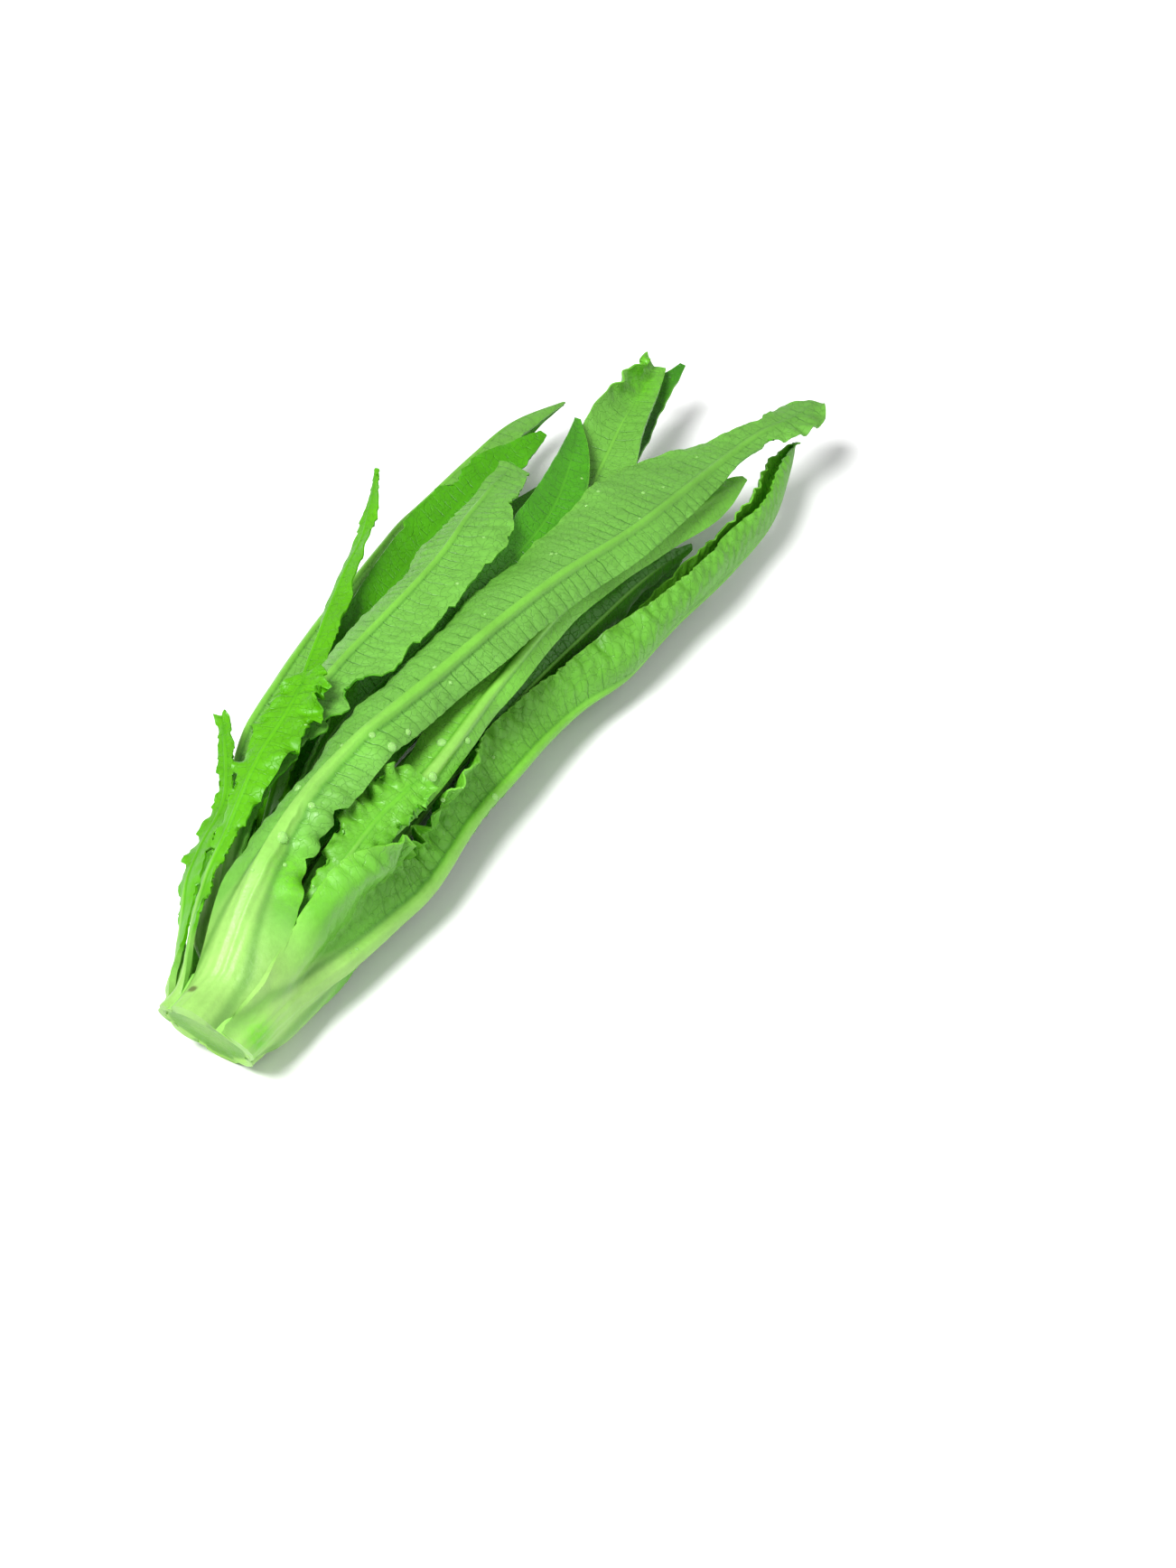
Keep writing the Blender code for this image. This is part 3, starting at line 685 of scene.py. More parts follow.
def relief(spec, where, reach, width):
    """How far the blade swells between its side veins and waves at its margin, in mm."""
    phase = np.random.default_rng(spec["seed"] + 100).uniform(0, 2 * np.pi, 6)
    sign = np.sign(np.arange(reach.shape[1]) - reach.shape[1] // 2)
    spacing = spec["laterals"]
    place = where[:, None]
    wander = 1.1 * np.sin(place / 17 + phase[0] + 1.3 * sign) + 0.5 * np.sin(reach / 4 + phase[1])
    wander = wander + 1.0 * np.sin(place / 5.3 + phase[2] + 2.1 * sign) + 0.6 * np.sin(place / 29)
    lie = place + VEIN_LEAN * reach - VEIN_BEND * reach**2 + wander
    vein = lie / spacing + np.where(sign < 0, 0.5, 0)
    off = np.abs(vein - np.round(vein))
    share = reach / width
    blade = clamp((reach - SMOOTH_BY_RIB) / 4) * clamp((place - SMOOTH_FOOT) / 30)
    fade = blade * clamp(1.25 - share)
    uneven = 0.65 + 0.35 * np.sin(place / 11 + 2 * sign + phase[5])
    pillow = np.cos(2 * np.pi * off) * -0.5 - np.exp(-((off * spacing / VEIN_FURROW) ** 2))
    swell = spec["quilt"] * fade * uneven * pillow
    tall, wide = spec["blister"]
    rows = np.sin(2 * np.pi * place / wide + 1.4 * np.sin(reach / 3.1 + phase[3]) + sign)
    blisters = np.sin(2 * np.pi * reach / (1.3 * wide) + 1.7 * np.sin(place / 6.1))
    swell = swell + tall * blade * rows * blisters
    height, length = spec["frill"]
    turn = 2 * np.pi * place / length
    ripple = np.sin(turn + phase[2]) * (sign < 0) + np.sin(1.13 * turn + phase[3]) * (sign > 0)
    ripple = ripple + 0.6 * np.sin(2.3 * turn + phase[4]) * sign
    start = clamp((place - 10) / 25)
    swell = swell + height * ripple * clamp(share) ** 3 * start
    for half, middle, reach_out, tall, length in spec["curls"]:
        near = (sign == half) * clamp(1.4 * (1 - np.abs(place - middle) / reach_out))
        turn = 2 * np.pi * place / length + 1.6 * np.sin(place / 7.0 + phase[5])
        curl = np.sin(turn + 2.5 * share + phase[2]) + 0.6 * np.sin(1.7 * turn - 4 * share + phase[4])
        swell = swell + tall * near * clamp(share) ** 1.5 * curl
    return swell, vein


def patch(points, spot):
    """1 at a spot, fading away round it."""
    place, size = spot
    return np.exp(-((np.linalg.norm(points - place, axis=-1) / size) ** 2))


# What a leaf is like unless its own call says otherwise. Height and number or length of its waves:
# ruffle, frill, blister; depth and number or spacing of its bites: teeth, nicks. Tears and fuller
# places name their half, middle, reach and share, curls also a height and a length.
PLAIN_LEAF = {
    "crease": 0.35, "ruffle": (0.8, 5), "teeth": (0.05, 9), "quilt": 0.16, "laterals": 4.4,
    "frill": (0.3, 17), "nicks": (0.1, 3.5), "blister": (0.06, 4.5), "rise": 1.0,
    "tears": (), "fuller": (), "curls": (),
}


def grow(name, rows, rib, size, slot, skin, settles=True, grain=0.9, columns=20, **own):
    """One leaf. Each row is a station on its rib: x, y, z, roll, left, right, fold_left, fold_right.

    Roll is where the ribbed side faces, 90 for up and 180 for the near side. Left and right are the
    widths beside the rib, and each fold is how far that half bends. The rough sheet settles on the
    leaves inside it, then the fine one follows it, with the foot, the relief and the teeth.
    """
    rows = np.array(rows.split(), float).reshape(-1, 8)
    spec = {**PLAIN_LEAF, **own, "rows": rows, "rib": rib}
    rough, u, reach = sheet(spec, size)
    points = settle(rough, u, reach, spec) if settles else rough
    for face in faces_of(points, u, reach, spec):
        radius, i, j = cells(dense(face))
        np.maximum.at(filled, (i, j), radius)
    length = stations(spec, 2)[0][-1]
    fine_size = (int(length / grain), columns)
    fine, fine_u, fine_reach = sheet(spec, fine_size, fine=True)
    fine = fine + carried(points - rough, u, size, fine_u, fine_size)
    fine, fine_reach, distance = rooted(fine, fine_reach, rows)
    where = np.r_[distance, fine_u * length]
    fine_u = np.r_[0 * distance, fine_u]
    widest = np.maximum(fine_reach.max(axis=1, keepdims=True), 1)
    swell, vein = relief(spec, where, fine_reach, widest)
    normal = unit(np.cross(np.gradient(fine, axis=0), -np.gradient(fine, axis=1)))
    fine = fine + normal * swell[..., None]
    fine[..., 2] = np.maximum(fine[..., 2], LOWEST_MIDDLE)
    inner, outer = faces_of(fine, fine_u, fine_reach, spec, fine=True)
    inner, outer = (np.clip(face, *ROOM) for face in (inner, outer))
    count, wide = fine.shape[:2]
    mesh = bmesh.new()
    bmesh.ops.create_grid(mesh, x_segments=count - 1, y_segments=wide - 1, size=1)
    parts = mesh.verts[:] + mesh.edges[:] + mesh.faces[:]
    doubled = bmesh.ops.extrude_face_region(mesh, geom=parts, use_keep_orig=True)
    top = {part for part in doubled["geom"] if isinstance(part, bmesh.types.BMVert)}
    bruise = patch(fine, BRUISE)
    greening = np.max([patch(fine, spot) for spot in BACKLIT_SPOTS], axis=0)
    found = []
    for vert in mesh.verts:
        i = round((vert.co.x + 1) / 2 * (count - 1))
        j = round((vert.co.y + 1) / 2 * (wide - 1))
        ribbed = vert in top
        vert.co = (outer if ribbed else inner)[i, j]
        found.append((i, j, ribbed))
    made = finished(name + "_blade", placed(mesh), skin, slot, name, smooth=75)
    i, j, ribbed = np.array(found).T
    slim = rib_half(spec, fine_u, fine=True)[:, None]
    on_rib = np.exp(-((fine_reach / (0.75 * slim)) ** 3))
    on_rib = on_rib * clamp(6 * (1 - fine_u))[:, None]
    keep(
        made, ribbed_side=ribbed, on_rib=on_rib[i, j], root_distance=where[i],
        to_margin=(fine_reach / widest)[i, j], bruise=bruise[i, j], greening=greening[i, j],
    )
    # The leaf's own map runs along it in side veins and across it in the same measure
    corners = np.empty(len(made.data.loops), np.int32)
    made.data.loops.foreach_get("vertex_index", corners)
    signed = fine_reach * np.sign(np.arange(wide) - wide // 2)
    flat = np.stack((vein[i, j], signed[i, j] / spec["laterals"]), -1)[corners] / UV_SPAN
    veins = made.data.uv_layers.new(name="veins")
    veins.data.foreach_set("uv", flat.astype(np.float32).ravel())
    return made


RIB_GREEN = (0.20, 0.55, 0.05, 1)
FOOT_GREEN = (0.32, 0.60, 0.135, 1)
BACKLIT_GREEN = (0.15, 0.58, 0.01, 1)
BRUISE_BROWN = (0.10, 0.12, 0.03, 1)

SKIN, skin_in, skin_out = group(
    "leaf_skin",
    {
        "Upper Side": "Color", "Ribbed Side": "Color", "Rib": "Color", "Foot": "Color",
        "Vein Shade": "Color", "Vein Depth": "Float", "Foot Reach": "Float",
    },
    {"Colour": "Color", "Height": "Float", "Gloss": "Float"},
)
side, rib, root, margin, bruised, greening = (
    measured(SKIN, name)
    for name in ("ribbed_side", "on_rib", "root_distance", "to_margin", "bruise", "greening")
)
given = skin_in.outputs
veins = node(SKIN, "UVMap", uv_map="veins").outputs[0]
real = node(SKIN, "VectorMath", {0: veins, "Scale": UV_SPAN}, operation="SCALE").outputs[0]
bent = noise(real, 0.9, 2.0, 0.5)
split = node(SKIN, "SeparateXYZ", {0: real})
line = maths("ADD", split.outputs["X"], times(maths("SUBTRACT", bent, 0.5), 0.35))
off = maths("ABSOLUTE", maths("SUBTRACT", maths("FRACT", line), 0.5))
lines = ramp(off, 0.44, 0.5)
fading = times(ramp(margin, 0.25, 0.8, 1, 0.1), ramp(root, 25, 70))
broken = ramp(noise(real, 0.45, 1), 0.35, 0.6, 0.35, 1)
lines = times(lines, fading, broken, ramp(rib, 0.3, 0.6, 1, 0))
stirred = node(
    SKIN, "VectorMath",
    {0: real, 1: node(SKIN, "TexNoise", {"Vector": real, "Scale": 1.6}).outputs["Color"]},
    operation="ADD",
).outputs[0]
net = node(
    SKIN, "TexVoronoi", {"Vector": stirred, "Scale": 1.9},
    feature="DISTANCE_TO_EDGE", voronoi_dimensions="2D",
).outputs["Distance"]
net = times(ramp(net, 0, 0.07, 1, 0), ramp(root, 10, 60))
net = times(net, ramp(rib, 0.2, 0.6, 1, 0))
flecks = flecked(SKIN, 0.016, 0.0016, 0.5)
grain = flecks.outputs["Grain"]
blade = blend(side, given["Upper Side"], given["Ribbed Side"])
# Painted shade: the side-vein lines and the fine vein net are darkened towards the vein shade colour,
# for the shade in their sunken grooves
blade = blend(times(lines, given["Vein Depth"]), blade, given["Vein Shade"])
blade = blend(times(net, times(given["Vein Depth"], 0.25)), blade, given["Vein Shade"])
# Painted light: the outermost margin is lightened towards the rib colour, for light shining through
# the thin edge
blade = blend(ramp(margin, 0.93, 1, 0, 0.35), blade, given["Rib"])
rib_share = times(ramp(rib, 0.1, 0.8), maths("MULTIPLY_ADD", side, 0.6, 0.12))
rib_share = times(rib_share, ramp(root, 60, 280, 1, 0.45))
colour = blend(rib_share, blade, given["Rib"])
# The foot is pale, and the rib stays pale much further out than the blade beside it
reached = times(given["Foot Reach"], maths("MULTIPLY_ADD", rib, 0.80, 0.20))
paling = node(SKIN, "MapRange", {0: root, 2: reached, 3: 1, 4: 0}).outputs[0]
uneven = ramp(noise(real, 0.25, 2), 0.2, 0.8, 0.8, 1.25)
paling = maths("MINIMUM", times(maths("POWER", paling, 0.9), uneven), 1.0)
colour = blend(paling, colour, given["Foot"])
# Painted light: patches of brighter green where light shines through the thin blade
backlit_patch = times(greening, ramp(grain, 0.3, 0.6, 0.5, 1))
colour = blend(backlit_patch, colour, BACKLIT_GREEN)
colour = blend(ramp(bruised, 0.25, 0.8, 0, 0.85), colour, BRUISE_BROWN)
# Painted shade: a darker line lies in the furrow on each side of the rib, where the rib shades it
furrow = times(ramp(rib, 0.02, 0.3), ramp(rib, 0.35, 0.8, 1, 0))
furrow = times(furrow, ramp(root, 90, 200, 0.5, 0.15))
colour = blend(furrow, colour, given["Vein Shade"])
hollow = maths("ADD", times(lines, -0.8), times(net, -0.45))
gloss = ramp(grain, 0.25, 0.8, 0.34, 0.5)
feed(SKIN, skin_out, {
    "Colour": shaded(colour, flecks.outputs["Shade"]),
    "Height": maths("ADD", hollow, times(grain, 0.5)),
    "Gloss": maths("ADD", gloss, times(net, 0.08)),
})


def leaf_skin(
    name, upper, ribbed, vein, rib=RIB_GREEN, depth=0.55, foot_reach=85.0, light_through=0.2
):
    """Thin wet leaf: the colours of its two sides over a satin skin that lets some light through."""
    made, tree, shader = material(name)
    look = node(tree, "Group", {
        "Upper Side": upper, "Ribbed Side": ribbed, "Rib": rib, "Foot": FOOT_GREEN,
        "Vein Shade": vein, "Vein Depth": depth, "Foot Reach": foot_reach,
    }, node_tree=SKIN).outputs
    raised = {"Strength": 0.6, "Distance": 0.0005, "Height": look["Height"]}
    bump = node(tree, "Bump", raised).outputs[0]
    feed(tree, shader, {
        "Base Color": look["Colour"], "Roughness": look["Gloss"], "Normal": bump,
        "Specular IOR Level": 0.4,
    })
    through = node(tree, "BsdfTranslucent", {"Color": look["Colour"], "Normal": bump})
    mixed = node(tree, "MixShader", {0: light_through, 1: shader.outputs[0], 2: through.outputs[0]})
    feed(tree, tree.nodes["Material Output"], {"Surface": mixed.outputs[0]})
    return made


# Painted shade: the very dark greens of the heart leaves and the dark leaf stand in for the shade
# deep in the head
SHADE_DARK_SKIN = leaf_skin(
    "shade_dark_leaf", (0.03, 0.20, 0.003, 1), (0.05, 0.24, 0.01, 1), (0.015, 0.10, 0.002, 1),
    light_through=0.1,
)

grow("heart_leaf_upper", """
    57 2 28.5 80 4 4 60 60
    90 3 28 80 7 7 60 60
    140 3 26 82 9 9 60 60
    190 3 25 85 9 9 50 50
    225 5 23 85 6 6 40 40
    246 6 22 85 1 1 30 30
""", (3, 1.2), (16, 3), "leaf_deep", SHADE_DARK_SKIN, seed=11, settles=False, grain=1.6, columns=10)
grow("heart_leaf_lower", """
    56 4 10.0 280 4 4 60 60
    90 7 11.5 275 8 8 50 50
    150 12 12.5 270 10 10 40 40
    210 18 14 270 10 10 40 40
    262 25 17 270 8 8 30 30
    285 27 20 270 6 6 30 30
    303 26 23 270 1 1 20 20
""", (3, 1), (18, 3), "leaf_deep", SHADE_DARK_SKIN, seed=12, settles=False, grain=1.6, columns=10)


# Rolled leaf and inner far leaf
# Two inner leaves: one stands behind the crown with its margins rolled in round its tip, the other
# shows its bright upper side and the crease over its rib. Both are thin and cupped.
MID_SKIN = leaf_skin(
    "middle_leaf", (0.11, 0.41, 0.025, 1), (0.15, 0.43, 0.05, 1), (0.04, 0.21, 0.008, 1)
)
INNER_SKIN = leaf_skin(
    "inner_leaf", (0.06, 0.32, 0.006, 1), (0.10, 0.38, 0.02, 1), (0.025, 0.16, 0.003, 1), depth=0.6
)

grow("rolled_leaf", """
    36 6 28.5 60 5 5 25 25
    80 10 32 65 8 8 30 30
    130 11 33 70 10 10 30 30
    180 12 32 75 11 11 30 30
    214 14 30 80 11 11 25 20
    242 20 28.5 80 11 10 -15 10
    262 25 27.5 80 11.5 8 -75 0
    281 28.5 26 80 10 6 -125 0
    295 31 24 80 5 4 -130 0
""", (3.5, 1.5), (22, 4), "leaf_mid", MID_SKIN, seed=14,
    tears=((-1, 256, 5, 0.5),), curls=((-1, 250, 22, 1.3, 13),),
)
grow("inner_leaf_far", """
    36 12 18 360 4 4 30 30
    80 20 26 335 6 6 35 35
    130 19 36 302 7 7 35 35
    165 15 38.5 296 8 8 25 25
    202 16 38 292 9 8 30 30
    228 23.5 36 290 6 5 20 20
    250 31 31 290 1 1 20 20
""", (3, 1), (18, 3), "leaf_mid", INNER_SKIN, seed=13)


# Dark leaf and band leaf
# On the near side of the heart a narrow leaf lies in shade, painted a very dark green for that shade,
# and over it a long smooth pale one runs beside the crown like a band, folded along its rib.
BAND_SKIN = leaf_skin(
    "band_leaf", (0.10, 0.42, 0.01, 1), (0.165, 0.50, 0.045, 1), (0.08, 0.32, 0.015, 1),
    depth=0.25, foot_reach=110.0,
)

grow("dark_leaf", """
    36 -9.5 20 168 4.5 4.5 25 25
    70 -10 22.5 160 6 6 40 30
    110 -8.5 23 155 6.5 6.5 50 30
    150 -9 23.5 155 7 7 50 30
    180 -12.5 25 155 7 7 50 30
    205 -16 26 155 5 5 50 30
    224 -20 25 155 1 1 20 20
""", (3, 1.2), (16, 3), "leaf_deep", SHADE_DARK_SKIN, seed=15, grain=1.2, columns=14)
grow("band_leaf", """
    34 -6 29 120 4 4 30 30
    55 -8 34 120 7 4.5 30 30
    88 -11.5 38 116 9 5 40 40
    130 -11 42 112 10 5.5 40 45
    175 -11 42 110 11 6 40 45
    215 -16 37 110 9 6.5 30 35
    240 -19 32 110 7 6 20 25
    258 -20 27 110 1 1 0 0
""", (8, 2.2), (22, 4), "leaf_light", BAND_SKIN, seed=16, quilt=0.05, blister=(0.03, 7))


# Curly leaf
# A short young leaf with a tightly waved and toothed margin. It stands up between the side leaf and
# the crown and catches the light from behind.
BRIGHT_SKIN = leaf_skin(
    "bright_leaf", (0.08, 0.41, 0.001, 1), (0.10, 0.42, 0.001, 1), (0.06, 0.33, 0.001, 1),
    rib=(0.11, 0.45, 0.002, 1), depth=0.35, foot_reach=35.0, light_through=0.3,
)
CURLY_SKIN = leaf_skin(
    "curly_leaf", (0.085, 0.43, 0.003, 1), (0.14, 0.46, 0.03, 1), (0.09, 0.38, 0.015, 1),
    rib=(0.13, 0.46, 0.02, 1), depth=0.3, foot_reach=50.0, light_through=0.3,
)

grow("curly_leaf", """
    23 -6.5 27.5 125 4 4 25 25
    40 -7.5 32 125 4 3 20 20
    52 -8.5 36.5 122 6 4 0 0
    62 -9.5 40 118 9 6 0 0
    70 -10.5 42 115 11 8 0 0
    78 -12 43.2 112 10 8 0 0
    86 -13 43.8 112 5 4.5 0 0
""", (4, 1), (20, 5), "leaf_bright", CURLY_SKIN, ruffle=(2.2, 3), teeth=(0.3, 6), seed=26,
    grain=0.45, columns=30, frill=(0.9, 11), nicks=(1.4, 4), laterals=3.4, blister=(0.9, 6),
    rise=0.3, curls=(
        (-1, 62, 28, 2.2, 7), (1, 62, 28, 2.4, 8), (1, 66, 12, 1.6, 5), (-1, 56, 10, 1.6, 5),
    ),
)


# Under leaf in the middle
# A broad leaf under the heart, pressed nearly flat by the head's weight and out of sight.
grow("under_leaf_mid", """
    31 2 5.2 275 5 5 30 30
    60 4 6.8 270 10 10 20 20
    100 8 7.5 270 13 13 15 15
    150 13 7.5 270 15 15 12 12
    200 17 7.5 270 13 13 10 10
    238 20 8.3 270 8 8 10 10
    258 21 9.5 270 1 1 10 10
""", (4, 1), (18, 3), "leaf_mid", MID_SKIN, seed=17, grain=1.4, columns=16)


# Notched leaf, spear leaf and far leaf
# On the far side a bright torn leaf turns its upper side up, a thin one stands before it like a
# spear with a ragged edge, and both lie in a long leaf that is folded along its rib.
grow("notched_leaf", """
    34 12.5 11.5 325 4 4 30 30
    70 26 17.5 305 6 6 25 25
    110 37 23.5 295 7 7 20 20
    150 44.5 26.5 292 8 8 18 18
    185 48 27.5 290 9 9 15 15
    212 48.5 27 288 8.5 8.5 12 12
    236 47.5 25 286 5 5 10 10
    250 46 23.5 286 1 1 10 10
""", (4, 1.2), (22, 4), "leaf_bright", BRIGHT_SKIN, teeth=(0.12, 7), seed=28,
    nicks=(0.6, 5), tears=((1, 182, 5, 0.6), (-1, 150, 4, 0.4)),
)
grow("spear_leaf", """
    36 11 23.5 30 3 3 25 25
    60 20 28 38 4 4 30 30
    90 31 30.5 40 4 4 30 30
    105 36 31 42 4 4 30 30
    122 42.5 31.8 44 3.4 5 30 30
    138 49.5 33.5 46 3.8 6.2 20 20
    152 54.5 36.5 48 3.8 5.5 10 5
    165.5 57.2 39.8 48 4 4.5 0 0
    178 61.5 44.5 46 2 3 0 0
    185 63.3 47 44 0.8 0.8 0 0
""", (3, 1.2), (20, 3), "leaf_bright", BRIGHT_SKIN, seed=23,
    grain=0.7, columns=14, nicks=(1.6, 7), tears=((1, 172, 4, 0.5), (-1, 150, 5, 0.4)),
)
grow("far_leaf", """
    23 15 18 2 7 6 30 30
    45 26 20 12 8 8 40 40
    70 37 22.5 18 10 8 60 60
    100 48 24 22 12 8 80 80
    130 55.5 25 25 14 8 90 90
    165 58.5 25 28 16 8 95 90
    200 60 24 28 16 10 95 90
    230 60.5 22 28 14 9 90 80
    255 60 19 28 8 7 80 70
    276 54.5 15 30 1 1 60 60
""", (6, 2), (28, 4), "leaf_mid", MID_SKIN, crease=0.6, seed=20, blister=(0.08, 5))


# Outer under leaves
# Two outer leaves from the lower side of the stump, which the head lies on. They are pressed flat
# against the worktop where they touch it.
grow("under_leaf_far", """
    11 12.3 8.0 322 6 6.5 30 30
    28 19.5 6.4 306 8 8 25 25
    45 27 5.4 295 11 10 20 20
    90 36 2.8 280 15 15 12 12
    125 39.5 0.8 270 16 16 8 8
    180 43 0.75 270 16 16 8 8
    220 45 2.5 272 10 10 8 8
    248 45 5 272 1 1 5 5
""", (5, 1.2), (20, 3), "leaf_mid", MID_SKIN, seed=18, grain=1.3, columns=16)
grow("under_leaf_near", """
    11 -9.8 6.9 225 5.2 4.5 30 30
    28 -8.5 5.2 246 5.5 7 22 22
    45 -6 4.2 262 6 10 15 20
    90 -4 2.8 270 8 13 10 10
    130 -3 0.8 270 9 13 8 8
    180 -5.5 0.8 270 8 12 8 8
    218 -8 3.6 270 6 6 8 8
    238 -9 5 270 1 1 5 5
""", (5, 1.2), (18, 3), "leaf_mid", MID_SKIN, seed=19, grain=1.3, columns=16)


# Crown leaf
# The large leaf on top, ribbed side up. Its thick smooth rib runs from the cut to a narrow neck and
# a small lobe at the tip, with a wide half on the far side and a narrow one folded down on the near.
CROWN_SKIN = leaf_skin(
    "crown_leaf", (0.085, 0.43, 0.006, 1), (0.165, 0.46, 0.06, 1), (0.035, 0.19, 0.01, 1),
    depth=0.75, foot_reach=95.0, light_through=0.28,
)

grow("crown_leaf", """
    11 0.6 31.4 88 7.5 9 25 25
    24 3 38.2 88 9 10 30 30
    45 5 45.2 86 12 11 40 60
    75 4 50 88 15 10 48 65
    118 -2 53 92 20 9 46 60
    165 -8 51 92 23 9 40 60
    200 -13 45.5 90 24 8 18 50
    240 -15 38.5 88 23 6 10 30
    257 -15.5 35 88 12 4.5 5 10
    274 -17 32 88 6.5 6 0 0
    288 -20 29 90 7 8 0 0
    297 -21 27 90 7 7 0 0
    304 -21 25.5 90 3 3 0 0
""", (9, 3.5), (36, 5), "leaf_mid", CROWN_SKIN, teeth=(0.02, 9), seed=21,
    columns=26, quilt=0.24, laterals=4.2, blister=(0.12, 5),
    curls=((1, 45, 32, 1.2, 9), (1, 290, 25, 0.8, 9)), fuller=((1, 12, 19, 0.38),),
    tears=(
        (1, 268, 5, 0.4), (-1, 300, 3, 0.3), (1, 306, 3, 0.35),
        (-1, 275, 3, 0.25), (1, 36, 2, 0.2), (1, 52, 3, 0.25),
    ),
)


# Torn leaf and flap leaf
# Beside the crown a leaf ends bluntly where it was torn, its near half hanging in a fringe. Below it
# a short bright toothed flap stands out from the far side.
grow("torn_leaf", """
    22 11.5 25.6 36 4 3.5 25 25
    34 16.5 30.5 44 4.5 3.5 25 25
    48 21.5 36.5 58 6 5 30 10
    66 26 41.5 72 8 6 40 5
    78 27.5 43 80 10 11 45 0
    90 28.5 44 84 11 12.5 50 0
    98 28.5 44.7 86 12 13.5 53 0
    104 28.5 45.3 87 12 9 55 0
    111 28.5 46 88 13 14.5 55 0
    130 27.5 47.3 90 14 14.5 60 0
    150 27 48 90 15 14.5 60 0
    166 28 47.5 92 14 15.5 60 0
    178 30 46 94 9 16.5 50 0
    190 32.5 43.5 95 5 13 30 0
    204 35 41 95 4 9 20 5
    216 37 38 95 3 6 20 5
""", (7, 2.6), (38, 5), "leaf_mid", CROWN_SKIN, teeth=(0.1, 9), seed=22,
    columns=26, quilt=0.35, nicks=(0.9, 5), laterals=3.8, blister=(0.15, 5),
    tears=((1, 62, 5, 0.5), (1, 73, 3, 0.3), (1, 84, 4, 0.4), (1, 176, 4, 0.25), (1, 160, 3, 0.15)),
)
grow("flap_leaf", """
    11 10.7 26.7 44 4 3.5 25 25
    28 16.5 34.5 48 4.5 4 20 20
    45 20 41 56 4.5 4.5 10 10
    60 23 45 64 6 6.5 5 10
    72 25.5 47.3 68 7.5 9.5 0 5
    83 27.5 49 70 8.5 11.5 -5 0
    92 29.5 50 70 7.5 10.5 -10 -10
    99 31 50.3 70 4 6 -10 -10
""", (4, 1.3), (20, 5), "leaf_bright", BRIGHT_SKIN, teeth=(0.3, 6), seed=24,
    grain=0.55, columns=26, frill=(0.6, 11), nicks=(1.3, 4.5), blister=(0.45, 6),
    curls=((-1, 80, 30, 1.2, 10), (1, 80, 30, 1.4, 9)), rise=0.4,
)


# Ragged leaf
# A narrow bright strip on the far side of the stump, with a jagged outer margin.
grow("ragged_leaf", """
    11 14.1 19.8 12 5 3 20 20
    24 19.8 23 36 6.5 5.5 10 10
    36 26 26.5 54 7.5 6.5 0 0
    45 29.5 28 60 7.5 6 0 0
    55 33 29 62 5.5 4.5 0 0
    63 36 30.5 62 3.5 3 0 0
    72 41.5 32 60 3.2 3 0 0
    80 47.5 33 58 3 3 0 0
    87 52.5 34 56 2 2 0 0
""", (4, 1.3), (22, 4), "leaf_bright", BRIGHT_SKIN, teeth=(0.25, 7), seed=25,
    grain=0.6, columns=18, frill=(0.5, 10), nicks=(1, 5), rise=0.6,
)


# Side leaf
# The outermost leaf on the near side: a broad pale foot with its rib along the lower edge, a frilled
# upper margin, then a narrow blade folded into a trough with a waved edge up to its tip.
SIDE_SKIN = leaf_skin(
    "side_leaf", (0.13, 0.48, 0.02, 1), (0.13, 0.43, 0.03, 1), (0.04, 0.21, 0.01, 1),
    depth=0.6, foot_reach=115.0,
)

grow("side_leaf", """
    11 -13.8 20.3 168 10.5 8 45 40
    24 -14.6 18 166 15 9 40 60
    40 -16.8 16 164 21 10 32 80
    52 -18.6 15.5 163 22 10 28 90
    62 -20 15.5 161 20 10 26 90
    70 -21.2 15.5 157 17.5 10 24 90
    76 -21.6 16 151 15 10 22 90
    83 -21.2 16.5 147 14.5 10 20 90
    92 -20.4 17.5 144 15.5 10 20 90
    105 -19.6 18 143 15.5 10 22 90
    121 -20 17.5 146 15 10.5 26 90
    138 -19.8 16.5 160 14.5 11 38 95
    155 -20.5 15 182 14 12 52 100
    175 -22.4 13.5 206 15 13 70 110
    200 -24.8 12.5 232 14.5 14 110 115
    235 -29 12.3 250 15 16 130 120
    260 -29 13 250 12 14 130 120
    280 -24 15 250 8 9 120 110
    292 -20 17 250 1 1 90 90
""", (9, 2.6), (42, 6), "leaf_light", SIDE_SKIN, seed=27,
    grain=0.7, columns=34, frill=(0.4, 12), nicks=(0.7, 4), blister=(0.3, 4.6),
    curls=((-1, 70, 26, 2, 7.5), (-1, 150, 70, 0.6, 9)),
)


# Water drops
# Drops left from rinsing stand on the upper leaves, each a small clear dome a little wider than it is
# high, lying on whatever leaf is uppermost there.
water, pool, clear = material("water")
trembling = flecked(pool, 0.004, 0.001, 0.05).outputs
ripple = node(pool, "Bump", {"Strength": 0.05, "Distance": 0.0001, "Height": trembling["Grain"]})
# Painted light: the drops' pale green, half diffuse colour stands in for the glints and sheen of
# clear water
feed(pool, clear, {
    "Base Color": shaded((0.5, 0.9, 0.28), trembling["Shade"]),
    "Roughness": ramp(trembling["Grain"], 0.2, 0.8, 0.05, 0.12), "Normal": ripple.outputs[0],
    "Transmission Weight": 0.5, "Metallic": 0.0, "IOR": 1.33, "Alpha": 0.75,
})

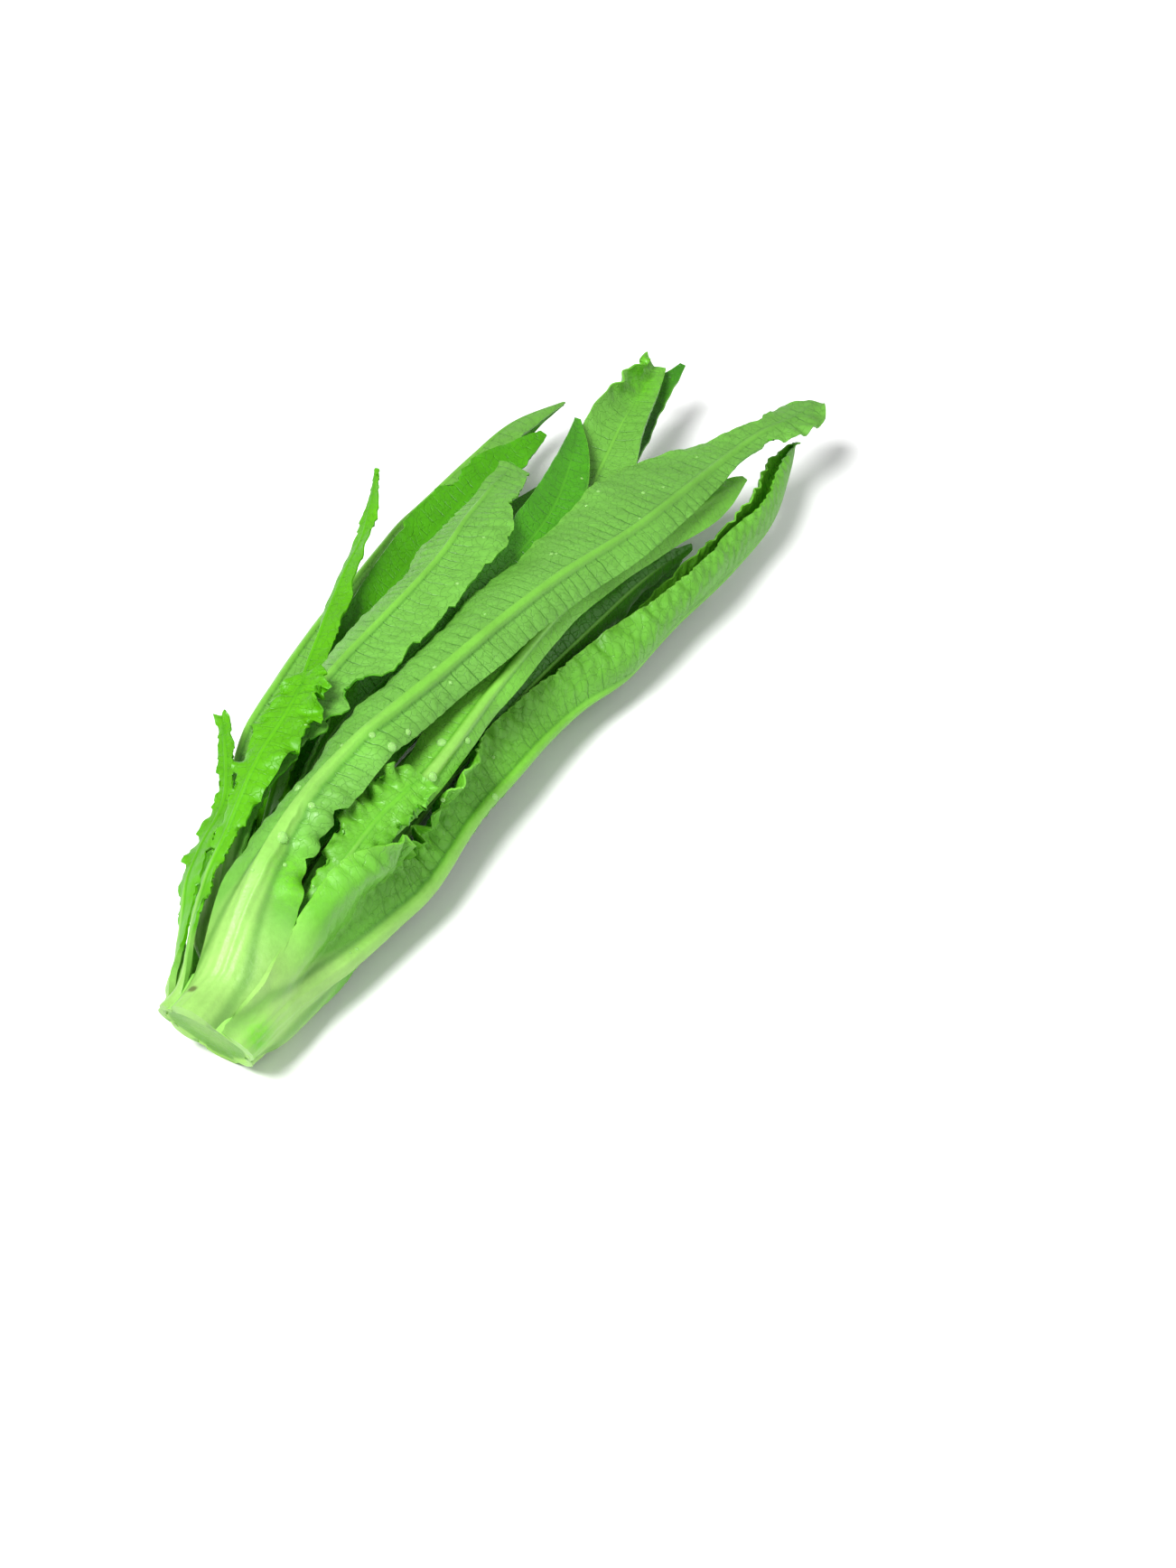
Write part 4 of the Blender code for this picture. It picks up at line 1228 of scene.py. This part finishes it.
# Where each drop stands, along and across the head, and its half width. Specks lie about by chance.
DROPS = (
    (84.6, 1.1, 1.1), (85.0, -4.8, 1.5), (93.4, -4.5, 1.0), (64.9, 12.2, 1.3),
    (45.2, 3.5, 1.7), (57.3, 2.5, 1.1), (102.6, -8.9, 1.5), (91.1, -13.2, 1.5),
    (108.2, -13.6, 1.1), (109.8, -20.9, 1.1), (29.4, -17.5, 1.3),
)
SPECKS = 30
SPECK_REACH = (30, 250)
SPECK_SPREAD = (-4, 14)
SPECK_SIZE = (0.35, 0.7)
FALLS_FROM = 90
DROP_HEIGHT = 0.5
grown = [
    BVHTree.FromObject(made, bpy.context.evaluated_depsgraph_get())
    for made in bpy.data.objects if made.name.endswith("_blade")
]
chance = np.random.default_rng(5)
places = list(DROPS) + [
    (x, axis_at(x)[0] + off, size)
    for x, off, size in zip(
        chance.uniform(*SPECK_REACH, SPECKS), chance.normal(*SPECK_SPREAD, SPECKS),
        chance.uniform(*SPECK_SIZE, SPECKS),
    )
]


def facing(place, way):
    """A place, with +Z turned the way asked for."""
    return Matrix.Translation(place) @ Vector(way).to_track_quat("Z", "Y").to_matrix().to_4x4()


drops = bmesh.new()
for x, y, size in places:
    start = (Vector((x, y, FALLS_FROM)) - Vector(STANDS_AT)) * MM
    hits = [tree.ray_cast(start, Vector((0, 0, -1))) for tree in grown]
    hits = [hit for hit in hits if hit[0] is not None]
    if not hits:
        continue
    place, normal = min(hits, key=lambda hit: hit[3])[:2]
    half = size * MM
    squashed = Matrix.Diagonal((half, half, half * DROP_HEIGHT, 1))
    matrix = facing(place, normal) @ squashed
    bmesh.ops.create_icosphere(drops, subdivisions=2, radius=1, matrix=matrix)
finished("water_drops", drops, water, "leaf_mid", smooth=80)


# Worktop, light and camera
# A plain pale worktop under soft studio light, seen from the stump's side and from above.
FLOOR_SIZE = 6.0
mesh = bmesh.new()
bmesh.ops.create_grid(mesh, x_segments=1, y_segments=1, size=FLOOR_SIZE / 2)
data = bpy.data.meshes.new("worktop")
mesh.to_mesh(data)
mesh.free()
worktop = put("worktop", data)
paint, tree, shader = material("pale_worktop")
feed(tree, shader, {"Base Color": (0.92, 0.92, 0.92, 1), "Roughness": 0.7})
data.materials.append(paint)

sky = bpy.data.worlds.new("soft_room")
bpy.context.scene.world = sky
sky.use_nodes = True
air = sky.node_tree
feed(air, air.nodes["Background"], {"Color": (1, 1, 1, 1), "Strength": 0.42})
for name, size, power, spot in (
    ("window_light", 0.5, 20.0, (-0.55, 0.12, 0.98)),
    ("fill_light", 1.2, 5.0, (0.2, -1.0, 0.8)),
):
    lamp = bpy.data.lights.new(name, "AREA")
    lamp.shape = "DISK"
    lamp.size = size
    lamp.energy = power
    put(name, lamp).matrix_world = facing(spot, spot)

AZIMUTH = np.radians(-60.0)
ELEVATION = np.radians(45.0)
CAMERA_AT = (-390.8, -339.6, 617.2)
back = Vector((
    np.sin(AZIMUTH) * np.cos(ELEVATION), -np.cos(AZIMUTH) * np.cos(ELEVATION), np.sin(ELEVATION)
))
lens = bpy.data.cameras.new("camera")
lens.lens = 70.0
lens.sensor_width = 36.0
lens.clip_start = 0.01
camera = put("camera", lens)
camera.matrix_world = facing(Vector(CAMERA_AT) * MM - Vector(STANDS_AT) * MM, back)
bpy.context.scene.camera = camera
bpy.context.scene.view_settings.view_transform = "Standard"
